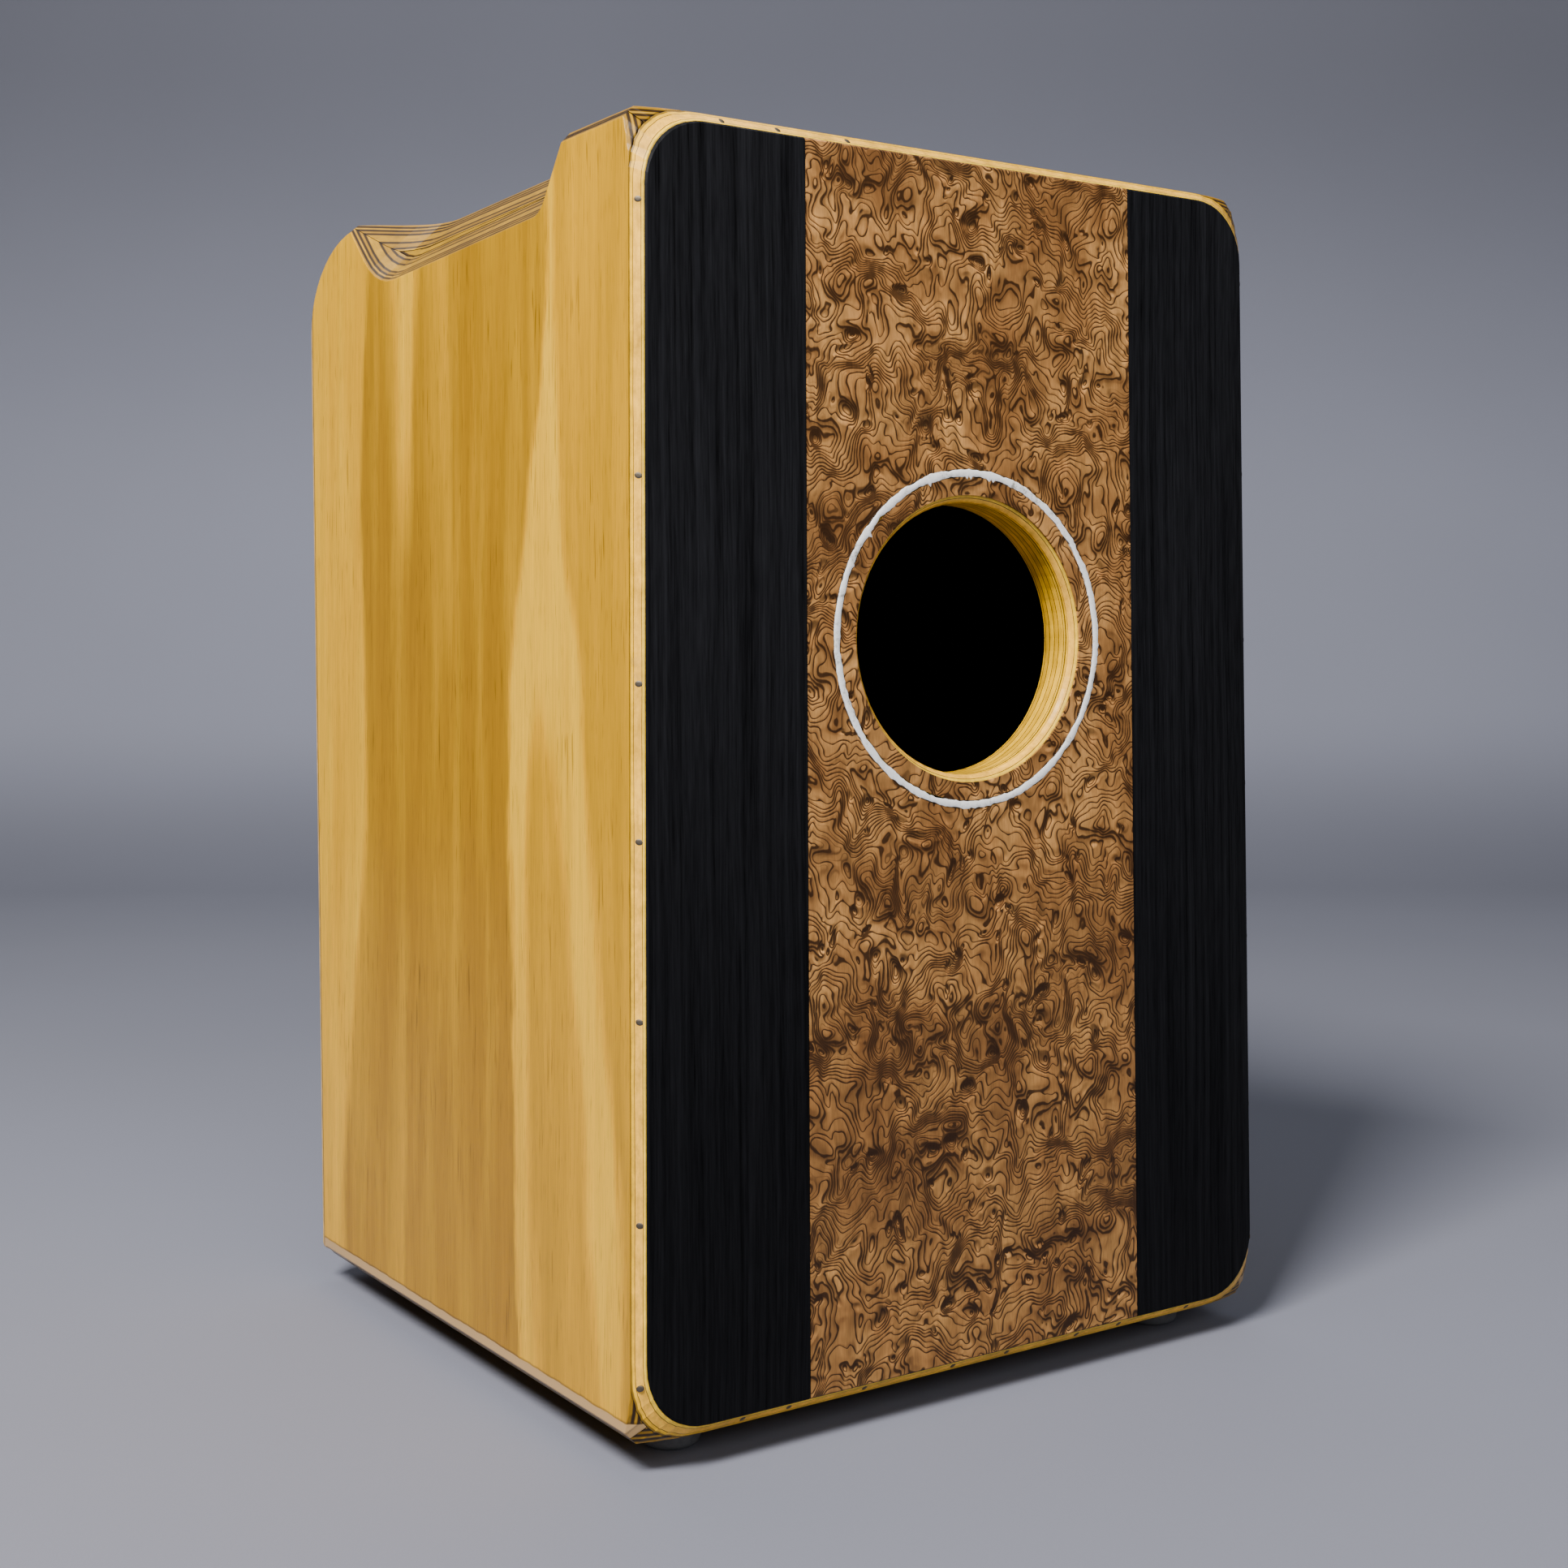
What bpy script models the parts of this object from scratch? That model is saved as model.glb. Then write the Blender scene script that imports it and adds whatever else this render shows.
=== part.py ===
"""Flamenco cajon: a mitred plywood box with a sound hole in its rear panel and strings behind its
playing face. The rear panel faces -Y, the playing face (the tapa) faces +Y, +Z is up. The origin is
on the floor under the middle of the object. Lengths are in metres."""

import math

import bmesh
import bpy
from mathutils import Matrix, Vector

# ---------------------------------------------------------------- driving dimensions
WIDTH = 0.303               # over the two side panels
TOP_Z = 0.480               # seat height above the floor
FOOT_H = 0.012              # the feet lift the box by this much
DEPTH_MID = 0.297           # rear face to tapa, halfway up the box
LEAN = 0.0426               # the tapa leans out by this much for each metre of height
PANEL = 0.015               # plywood of the four carcass panels
GAP = 0.0003                # clearance left between touching pieces
EDGE = 0.0044               # chamfer along the long side edges
FRONT_EDGE = 0.0014         # eased edge beside the tapa

REAR_T = 0.0050             # rear panel with its face veneer
VENEER_T = 0.0007
REAR_CHAMFER = 0.00465      # bevel round the rear face
REAR_CORNER_R = 0.0245      # corner radius of the flat rear face
REAR_CORNER_DEPTH = 0.0090  # how deep the rear bevel runs at the box corners
STRIPE_X = 0.0012           # middle of the burl stripe
STRIPE_W = 0.1612
HOLE_X = -0.0020
HOLE_Z = 0.2911
HOLE_R = 0.0525             # throat of the sound hole
HOLE_RIM_R = 0.0555         # the rounded edge opens to this at the face veneer
RING_IN, RING_OUT = 0.0627, 0.0654
RING_T = 0.0012             # inlay ring, let into the veneer and the rear panel
COLLAR_R, COLLAR_T = 0.074, 0.0125
COLLAR_EASE = 0.002

TAPA_T = 0.003
ROUND_BACK, ROUND_DOWN = 0.060, 0.045   # elliptical round between tapa and seat
FOOT_ROUND = 0.005                      # round between tapa and underside

CUT_REAR, CUT_FRONT = 0.0519, 0.2613    # the thigh cut meets the seat here, from the rear face
CUT_FLOOR = ((0.0723, 0.0283), (0.2270, 0.0339))   # floor corners: from the rear face, below the seat
CUT_FILLETS = (0.012, 0.044)
CUT_SLOPE = 0.87            # rise of the cut surface for each metre towards the middle
CUT_DRIFT = 0.40            # forward drift of the cut for each metre towards the middle

BLOCK = 0.028               # square section of the blocks under the seat
BATTEN_TOP = (0.030, 0.043)     # depth and height
BATTEN_BOTTOM = (0.022, 0.022)

TAPA_SCREW_HEAD = (0.0036, 0.0018)      # radius and height of the head
TAPA_SCREW_SHANK = (0.0015, 0.0175)     # radius and length of the shank
TAPA_SCREW_TOP_X = 0.060
TAPA_SCREW_BOTTOM_X = (0.048, 0.126)
TAPA_SCREW_BOTTOM_UP = 0.009            # the lowest screws stand this far above the underside
SCREW_HOLE_R = 0.0019
SCREW_HOLE_SPARE = 0.001                # a blind hole is this much deeper than its screw
FOOT_R = 0.012
FOOT_TAPER = (0.0022, 0.0010)           # the sole's edge is this much smaller, this far up
FOOT_RECESS_R, FOOT_RECESS_TOP = 0.0048, 0.0068
FOOT_INSET = 0.032
FOOT_SCREW_HEAD, FOOT_SCREW_SHANK = (0.0040, 0.0022), (0.0015, 0.0168)

STRING_R, FERRULE_R, FERRULE_L = 0.00045, 0.0010, 0.006
STRING_OFFSET = 0.00135     # string axis behind the tapa
STRING_FOOT_X, STRING_HEAD_X = (0.018, 0.027), (0.046, 0.055)
SLOT_HALF, POCKET_HALF = STRING_R + 0.00035, FERRULE_R + 0.00035
SLOT_PAST = 0.002           # the slots' cutters run this far past the piece they cut
POCKET_FOOT, POCKET_HEAD = 0.0036, 0.0045   # heights of the shoulders that hold the ferrules
CARRIAGE_X, CARRIAGE_SIZE, CARRIAGE_LOW_Z = 0.0225, (0.024, 0.017, 0.010), 0.056
BOLT_R, BOLT_BACK = 0.0022, 0.0105
BOLT_HEAD = (0.00425, 0.005)
BOLT_EASE = 0.0004                  # eased edge of the bolt's head
BOLT_TIP = (0.0008, 0.001)          # chamfer at its tip
BOLT_TOP_Z = 0.084
COUNTERBORE = 0.0075                # depth of the way for the bolt's head, in the underside
HEX_SOCKET = (0.0023, 0.0028)
ANCHOR_SIZE = (0.140, 0.014, 0.012)
ANCHOR_SCREW_X, ANCHOR_SCREW_BACK = 0.030, 0.0095
ANCHOR_SCREW_HEAD, ANCHOR_SCREW_SHANK = (0.0036, 0.0020), (0.0015, 0.024)

# ---------------------------------------------------------------- derived places
LEFT, RIGHT = -WIDTH / 2, WIDTH / 2
BASE_Z = FOOT_H
MID_Z = (BASE_Z + TOP_Z) / 2
TOP_SCREW_Z = TOP_Z - 0.050
NORMAL_Y = 1 / math.sqrt(1 + LEAN**2)
# Front-most points are the heads of the upper tapa screws, so the depth is measured to them.
FRONT_REACH = DEPTH_MID + LEAN * (TOP_SCREW_Z - MID_Z) + TAPA_SCREW_HEAD[1] * NORMAL_Y
BACK_Y = -FRONT_REACH / 2
CARCASS_Y = BACK_Y + REAR_T + GAP
MARGIN = 0.02       # cutters and regions reach this far past the box
FAR_Y = BACK_Y + 0.5


def front_y(z):
    """Outer face of the tapa at height z."""
    return BACK_Y + DEPTH_MID + LEAN * (z - MID_Z)


def tapa_inner_y(z):
    return front_y(z) - TAPA_T / NORMAL_Y


def carcass_front_y(z):
    """Front edge of the carcass, just behind the tapa."""
    return front_y(z) - (TAPA_T + GAP) / NORMAL_Y


# ---------------------------------------------------------------- materials
def material(name, color, roughness=0.5, metallic=0.0):
    made = bpy.data.materials.new(name)
    made.use_nodes = True
    shader = made.node_tree.nodes["Principled BSDF"]
    shader.inputs["Base Color"].default_value = (*color, 1.0)
    shader.inputs["Roughness"].default_value = roughness
    shader.inputs["Metallic"].default_value = metallic
    made.diffuse_color = (*color, 1.0)
    return made


def make_materials():
    return {
        "pine": material("pine_ply", (0.58, 0.33, 0.08), 0.25),
        "block": material("laminated_block", (0.50, 0.30, 0.09), 0.35),
        "batten": material("spruce_batten", (0.62, 0.45, 0.24), 0.6),
        "rear": material("rear_ply", (0.66, 0.44, 0.20), 0.35),
        "black": material("black_veneer", (0.006, 0.006, 0.007), 0.45),
        "burl": material("burl_veneer", (0.17, 0.075, 0.03), 0.4),
        "pearl": material("pearl_inlay", (0.80, 0.80, 0.78), 0.3),
        "tapa": material("tapa_ply", (0.52, 0.32, 0.14), 0.3),
        "steel": material("steel", (0.55, 0.55, 0.56), 0.3, 1.0),
        "brass": material("brass", (0.70, 0.52, 0.22), 0.35, 1.0),
        "rubber": material("grey_rubber", (0.16, 0.16, 0.17), 0.7),
        "string": material("string_wire", (0.60, 0.56, 0.48), 0.3, 1.0),
    }


# ---------------------------------------------------------------- mesh helpers
def add_object(name, bm, paint=None):
    bmesh.ops.recalc_face_normals(bm, faces=bm.faces)
    if bm.calc_volume(signed=True) < 0:
        bmesh.ops.reverse_faces(bm, faces=bm.faces)
    mesh = bpy.data.meshes.new(name)
    bm.to_mesh(mesh)
    bm.free()
    made = bpy.data.objects.new(name, mesh)
    bpy.context.scene.collection.objects.link(made)
    if paint:
        mesh.materials.append(paint)
    else:
        made.hide_render = True
        made.display_type = "WIRE"
    return made


def loft(loops):
    """Closed solid through loops of equally many points, capped at both ends."""
    bm = bmesh.new()
    rings = [[bm.verts.new(point) for point in loop] for loop in loops]
    for low, high in zip(rings, rings[1:]):
        for i in range(len(low)):
            j = (i + 1) % len(low)
            bm.faces.new((low[i], low[j], high[j], high[i]))
    bm.faces.new(rings[0])
    bm.faces.new(rings[-1][::-1])
    bm.normal_update()
    bmesh.ops.connect_verts_nonplanar(bm, angle_limit=1e-4, faces=bm.faces)
    return bm


def box(low, high):
    (x0, y0, z0), (x1, y1, z1) = low, high
    return loft([[(x0, y0, z), (x1, y0, z), (x1, y1, z), (x0, y1, z)] for z in (z0, z1)])


def slab_x(outline, x_low, x_high):
    """Outline in Y and Z, extruded along X."""
    return loft([[(x, y, z) for y, z in outline] for x in (x_low, x_high)])


def slab_y(outline, y_low, y_high):
    """Outline in X and Z, extruded along Y."""
    return loft([[(x, y, z) for x, z in outline] for y in (y_low, y_high)])


def turned(profile, steps):
    """Solid of revolution about Z from (radius, z) points; a radius of 0 ends on the axis."""
    bm = bmesh.new()
    points = [bm.verts.new((radius, 0.0, z)) for radius, z in profile]
    edges = [bm.edges.new(pair) for pair in zip(points, points[1:])]
    bmesh.ops.spin(
        bm, geom=points + edges, cent=(0, 0, 0), axis=(0, 0, 1), angle=math.tau,
        steps=steps, use_merge=True,
    )
    bmesh.ops.remove_doubles(bm, verts=bm.verts, dist=1e-6)
    bmesh.ops.dissolve_degenerate(bm, edges=bm.edges, dist=1e-7)
    bm.normal_update()
    centres = [
        vert for vert in bm.verts
        if vert.co.xy.length < 1e-7 and all(abs(face.normal.z) > 0.9999 for face in vert.link_faces)
    ]
    bmesh.ops.dissolve_verts(bm, verts=centres)     # a flat end is one face, not a fan
    return bm


def cylinder(radius, z_low, z_high, steps=12):
    return turned([(0, z_low), (radius, z_low), (radius, z_high), (0, z_high)], steps)


def placed(bm, matrix):
    bm.transform(matrix)
    return bm


def joined(parts):
    """One mesh holding several separate solids, for a cutter that makes many holes."""
    bm = bmesh.new()
    for part in parts:
        mesh = bpy.data.meshes.new("part")
        part.to_mesh(mesh)
        part.free()
        bm.from_mesh(mesh)
        bpy.data.meshes.remove(mesh)
    return bm


def boolean(target, operation, tool):
    modifier = target.modifiers.new(f"{operation.lower()}_{tool.name}", "BOOLEAN")
    modifier.operation = operation
    modifier.object = tool
    modifier.solver = "EXACT"


def weld(made):
    """Closes the hairline edges that a cut leaves where it almost meets a corner."""
    modifier = made.modifiers.new("weld", "WELD")
    modifier.merge_threshold = 0.00001


def smooth(made, angle=40):
    made.data.shade_smooth()
    made.data.set_sharp_from_angle(angle=math.radians(angle))


def rounded(corners, radii, steps=5):
    """Open polyline with its inner corners replaced by tangent arcs."""
    points = [Vector(corners[0])]
    for before, corner, after, radius in zip(corners, corners[1:], corners[2:], radii):
        corner = Vector(corner)
        back = (Vector(before) - corner).normalized()
        ahead = (Vector(after) - corner).normalized()
        half = back.angle(ahead) / 2
        centre = corner + (back + ahead).normalized() * radius / math.sin(half)
        start = corner + back * radius / math.tan(half) - centre
        end = corner + ahead * radius / math.tan(half) - centre
        turn = start.angle_signed(end)
        for i in range(steps + 1):
            angle = -turn * i / steps
            spun = Vector((
                start.x * math.cos(angle) - start.y * math.sin(angle),
                start.x * math.sin(angle) + start.y * math.cos(angle),
            ))
            points.append(centre + spun)
    points.append(Vector(corners[-1]))
    return points


# ---------------------------------------------------------------- the outer form of the box
def side_outline():
    """(y, z, chamfer) of the box seen from the side, anticlockwise from the lower rear corner."""
    rear = BACK_Y - MARGIN
    foot = Vector((front_y(BASE_Z), BASE_Z))
    along = Vector((LEAN, 1.0)) * NORMAL_Y
    points = [(rear, BASE_Z, EDGE)]
    steps = 3
    for i in range(steps + 1):
        angle = math.pi / 2 * i / steps
        reach = FOOT_ROUND * (1 - math.sin(angle))
        rise = FOOT_ROUND * (1 - math.cos(angle))
        chamfer = EDGE + (FRONT_EDGE - EDGE) * i / steps
        y, z = foot - Vector((reach, 0)) + along * rise
        points.append((y, z, chamfer))
    corner = Vector((front_y(TOP_Z), TOP_Z))
    steps = 12
    for i in range(steps + 1):
        angle = math.pi / 2 * i / steps
        y, z = corner - Vector((ROUND_BACK * (1 - math.cos(angle)), 0)) - along * (
            ROUND_DOWN / NORMAL_Y * (1 - math.sin(angle))
        )
        chamfer = FRONT_EDGE + (EDGE - FRONT_EDGE) * i / steps
        points.append((y, z, chamfer))
    points.append((rear, TOP_Z, EDGE))
    return points


def inward(points):
    """The same outline moved inwards by each point's own chamfer."""
    moved = []
    for i, (y, z, chamfer) in enumerate(points):
        here = Vector((y, z))
        before = Vector(points[i - 1][:2])
        after = Vector(points[(i + 1) % len(points)][:2])
        a, b = (here - before).normalized(), (after - here).normalized()
        if i in (0, len(points) - 1):
            side = b if i == 0 else a      # the open rear end keeps the direction of its long edge
            normal, stretch = Vector((side.y, -side.x)), 1.0
        else:
            mean = (a + b).normalized()
            normal, stretch = Vector((mean.y, -mean.x)), 1 / mean.dot(a)
        moved.append(here - normal * chamfer * stretch)
    return moved


def box_form():
    points = side_outline()
    inner = inward(points)
    full = [(y, z) for y, z, _ in points]

    def loop(x, outline):
        return [(x, y, z) for y, z in outline]

    return loft([
        loop(LEFT, inner), loop(LEFT + EDGE, full), loop(RIGHT - EDGE, full), loop(RIGHT, inner),
    ])


def rear_form():
    """A tapering block whose end is the flat rear face with its round corners."""
    middle = Vector((0.0, MID_Z))
    half = Vector((WIDTH / 2, (TOP_Z - BASE_Z) / 2))
    reach = REAR_CHAMFER + REAR_CORNER_R
    steps = 10
    flat, flared, front = [], [], []
    for turn in range(4):
        sign = Vector(((1, 1), (-1, 1), (-1, -1), (1, -1))[turn])
        for i in range(steps + 1):
            step = i if turn % 2 == 0 else steps - i
            angle = math.pi / 2 * step / steps
            inset = Vector((reach - REAR_CORNER_R * math.cos(angle),
                            reach - REAR_CORNER_R * math.sin(angle)))
            # On the way round the corner the bevel meets the side, then the seat, ever deeper.
            toward = 1 - abs(step - steps / 2) / (steps / 2)
            along = reach + (EDGE - reach) * min(1.0, toward * 1.25)
            outer = Vector((0.0, along)) if step < steps / 2 else Vector((along, 0.0))
            if step == steps / 2:
                outer = Vector((EDGE / 2, EDGE / 2))
            deeper = min(1.0, toward * 1.25) ** 2
            depth = REAR_CHAMFER + (REAR_CORNER_DEPTH - REAR_CHAMFER) * deeper
            for loop, factor in ((flat, 0.0), (flared, 2.4)):
                place = inset + (outer - inset) * factor
                x, z = (half - place) * sign + middle
                loop.append((x, BACK_Y + depth * factor, z))
            front.append((flared[-1][0], FAR_Y, flared[-1][2]))
    return loft([flat, flared, front])


def thigh_cut(side):
    """Slanted scoop in the seat's edge; side is -1 for the left."""
    (rear_d, rear_drop), (front_d, front_drop) = CUT_FLOOR
    rise = 0.05         # the outline is carried this far above the seat
    rear_slope = (rear_d - CUT_REAR) / rear_drop
    front_slope = (CUT_FRONT - front_d) / front_drop
    corners = [
        (CUT_REAR - rear_slope * rise, rise),
        (rear_d, -rear_drop),
        (front_d, -front_drop),
        (CUT_FRONT + front_slope * rise, rise),
    ]
    outline = [(BACK_Y + d, TOP_Z + h) for d, h in rounded(corners, CUT_FILLETS)]
    shift = Vector((0.0, CUT_DRIFT, CUT_SLOPE))
    loops = []
    for inwards in (-MARGIN, 3 * MARGIN):
        x = side * (WIDTH / 2 - inwards)
        loops.append([Vector((x, y, z)) + shift * inwards for y, z in outline])
    return loft(loops)


def make_forms():
    """Hidden guide solids: the whole box, and the layer of it that the carcass fills."""
    whole = add_object("form_box", box_form())
    boolean(whole, "INTERSECT", add_object("form_rear", rear_form()))
    for side, word in ((-1, "left"), (1, "right")):
        boolean(whole, "DIFFERENCE", add_object(f"cut_thigh_{word}", thigh_cut(side)))
    low, high = BASE_Z - MARGIN, TOP_Z + MARGIN
    outline = [
        (CARCASS_Y, low), (carcass_front_y(low), low), (carcass_front_y(high), high), (CARCASS_Y, high),
    ]
    carcass = add_object("form_carcass", slab_x(outline, LEFT - MARGIN, RIGHT + MARGIN))
    boolean(carcass, "INTERSECT", whole)
    return whole, carcass


# ---------------------------------------------------------------- screws and their holes
def tapa_frame(x, z):
    """Placement on the tapa's outer face at height z: local +Z points out of the face."""
    out = Vector((0.0, NORMAL_Y, -LEAN * NORMAL_Y))
    up = Vector((0.0, LEAN * NORMAL_Y, NORMAL_Y))
    matrix = Matrix((Vector((-1, 0, 0)), up, out)).transposed().to_4x4()
    matrix.translation = (x, front_y(z), z)
    return matrix


def tapa_screw_places():
    """Name and place of each screw round the tapa's edge."""
    edge_x = WIDTH / 2 - PANEL / 2
    low_z = BASE_Z + TAPA_SCREW_BOTTOM_UP
    near_x, far_x = TAPA_SCREW_BOTTOM_X
    places = []
    for row, z, xs in (
        ("top", TOP_SCREW_Z, (-edge_x, -TAPA_SCREW_TOP_X, TAPA_SCREW_TOP_X, edge_x)),
        ("bottom", low_z, (-far_x, -near_x, near_x, far_x)),
    ):
        for number, x in enumerate(xs, 1):
            places.append((f"tapa_screw_{row}_{number}", x, z))
    for word, x in (("left", -edge_x), ("right", edge_x)):
        for number in range(1, 4):
            z = low_z + (TOP_SCREW_Z - low_z) * number / 4
            places.append((f"tapa_screw_{word}_{number}", x, z))
    return places


def make_screw(name, head, shank, matrix, paint):
    """Pan-head wood screw along -Z, its head's underside at z = 0, a cross recess in its crown."""
    head_r, head_h = head
    shank_r, length = shank
    arm, half_width = head_r * 0.5, head_r * 0.11
    cross = []
    for quarter in range(4):
        turn = Matrix.Rotation(math.pi / 2 * quarter, 2)
        for point in ((arm, -half_width), (arm, half_width), (half_width, half_width)):
            cross.append(turn @ Vector(point))
    # The cross has twelve corners, so every ring of the screw has twelve points too.
    spokes = [math.tau * (i - 0.5) / len(cross) for i in range(len(cross))]
    rings = [
        (0.2 * shank_r, -length), (shank_r, -length + 3 * shank_r), (shank_r, 0),
        (head_r, 0), (head_r, head_h * 0.4), (head_r * 0.7, head_h),
    ]
    loops = [[(r * math.cos(a), r * math.sin(a), z) for a in spokes] for r, z in rings]
    loops += [[(x, y, z) for x, y in cross] for z in (head_h, head_h * 0.4)]
    made = add_object(name, loft(loops), paint)
    made.matrix_world = matrix
    smooth(made)


def foot_places():
    """Name and place of each foot, with its screw's axis."""
    rear = BACK_Y + FOOT_INSET
    front = front_y(BASE_Z) - FOOT_INSET
    side = WIDTH / 2 - FOOT_INSET
    return [
        ("rear_left", -side, rear), ("rear_right", side, rear),
        ("front_left", -side, front), ("front_right", side, front),
    ]


def bolt_places():
    """Left and right tension bolt: name, x and y of its axis."""
    y = tapa_inner_y(CARRIAGE_LOW_Z) - BOLT_BACK
    return [("left", -CARRIAGE_X, y), ("right", CARRIAGE_X, y)]


def make_hole_cutters():
    """Cutters by name, each making the holes of one kind of fastener."""
    def drilled(name, radius, low, high, places, steps=12):
        holes = [placed(cylinder(radius, low, high, steps), place) for place in places]
        return add_object(f"cut_{name}", joined(holes))

    tapa = [tapa_frame(x, z) for _, x, z in tapa_screw_places()]
    feet = [Matrix.Translation((x, y, 0.0)) for _, x, y in foot_places()]
    bolts = [Matrix.Translation((x, y, 0.0)) for _, x, y in bolt_places()]
    anchors = [Matrix.Translation((x, y, z)) for _, x, y, z in anchor_screw_places()]
    foot_screw_top = FOOT_RECESS_TOP + FOOT_SCREW_SHANK[1] + SCREW_HOLE_SPARE
    return {
        "tapa_screws": drilled(
            "tapa_screws", SCREW_HOLE_R, -TAPA_SCREW_SHANK[1] - SCREW_HOLE_SPARE, MARGIN, tapa),
        "foot_screws": drilled("foot_screws", SCREW_HOLE_R, -MARGIN, foot_screw_top, feet),
        "bolts": drilled("bolts", BOLT_R + 2 * GAP, -MARGIN, BOLT_TOP_Z, bolts),
        "bolt_heads": drilled(
            "bolt_heads", BOLT_HEAD[0] + 4 * GAP, -MARGIN, BASE_Z + COUNTERBORE, bolts, 20),
        "anchor_screws": drilled(
            "anchor_screws", SCREW_HOLE_R, -MARGIN, ANCHOR_SCREW_SHANK[1] + SCREW_HOLE_SPARE, anchors),
    }


# ---------------------------------------------------------------- carcass
def carve(name, region, form, paint, cutters=()):
    """The part of a form that lies inside a region, less its holes."""
    made = add_object(name, region, paint)
    boolean(made, "INTERSECT", form)
    for cutter in cutters:
        boolean(made, "DIFFERENCE", cutter)
    weld(made)
    smooth(made, 25)
    return made


def make_carcass(form, cutters, paint):
    y_low, y_high = BACK_Y - MARGIN, FAR_Y
    mitre = GAP / 2 * math.sqrt(2)

    def side_region(side):
        outer, inner = side * (WIDTH / 2 + MARGIN), side * (WIDTH / 2 - PANEL)
        return slab_y([
            (outer, BASE_Z - MARGIN + mitre), (inner, BASE_Z + PANEL + mitre),
            (inner, TOP_Z - PANEL - mitre), (outer, TOP_Z + MARGIN - mitre),
        ], y_low, y_high)

    def level_region(edge_z, up):
        inner_x = WIDTH / 2 - PANEL - mitre
        outer_x = WIDTH / 2 + MARGIN
        inner_z, outer_z = edge_z - up * PANEL, edge_z + up * (MARGIN + mitre)
        return slab_y([
            (-inner_x, inner_z), (inner_x, inner_z), (outer_x, outer_z), (-outer_x, outer_z),
        ], y_low, y_high)

    carve("left_side_panel", side_region(-1), form, paint["pine"], [cutters["tapa_screws"]])
    carve("right_side_panel", side_region(1), form, paint["pine"], [cutters["tapa_screws"]])
    carve("top_panel", level_region(TOP_Z, 1), form, paint["pine"])
    carve(
        "bottom_panel", level_region(BASE_Z, -1), form, paint["pine"],
        [cutters[word] for word in ("tapa_screws", "foot_screws", "bolts", "bolt_heads")],
    )


def make_battens(form, cutters, paint):
    inner_x = WIDTH / 2 - PANEL - GAP

    def region(z_low, z_high, depth):
        """Batten behind the tapa; its rear face leans with the tapa."""
        outline = [
            (carcass_front_y(z_low) - depth, z_low), (front_y(z_low) + MARGIN, z_low),
            (front_y(z_high) + MARGIN, z_high), (carcass_front_y(z_high) - depth, z_high),
        ]
        return slab_x(outline, -inner_x, inner_x)

    depth, height = BATTEN_TOP
    ceiling = TOP_Z - PANEL - GAP
    carve(
        "front_batten_top", region(ceiling - height, ceiling, depth), form, paint["batten"],
        [cutters["tapa_screws"], cutters["anchor_screws"]],
    )
    depth, height = BATTEN_BOTTOM
    floor = BASE_Z + PANEL + GAP
    carve(
        "front_batten_bottom", region(floor, floor + height, depth), form, paint["batten"],
        [cutters["bolts"]],
    )
    # The seat blocks stop just short of the upper batten.
    stop = carcass_front_y(ceiling - BATTEN_TOP[1]) - BATTEN_TOP[0] - 0.002
    for side, word in ((-1, "left"), (1, "right")):
        xs = sorted((side * inner_x, side * (inner_x - BLOCK)))
        region_box = box((xs[0], BACK_Y - MARGIN, ceiling - BLOCK), (xs[1], stop, ceiling))
        carve(f"{word}_seat_block", region_box, form, paint["block"])


# ---------------------------------------------------------------- rear
def hole_outline():
    """(radius, depth) of the cutter for the sound hole: rounded through the rear panel, then straight."""
    last, steps = math.radians(76), 7
    across = (HOLE_RIM_R - HOLE_R) / (1 - math.cos(math.radians(70)))
    deep = (REAR_T - VENEER_T - GAP) / math.sin(math.radians(70))
    arc = [
        (HOLE_R + across * (1 - math.cos(last * i / steps)), REAR_T - deep * math.sin(last * i / steps))
        for i in range(steps, -1, -1)
    ]
    return [(0, -MARGIN), (arc[0][0], -MARGIN), *arc, (HOLE_R, MARGIN), (0, MARGIN)]


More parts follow.
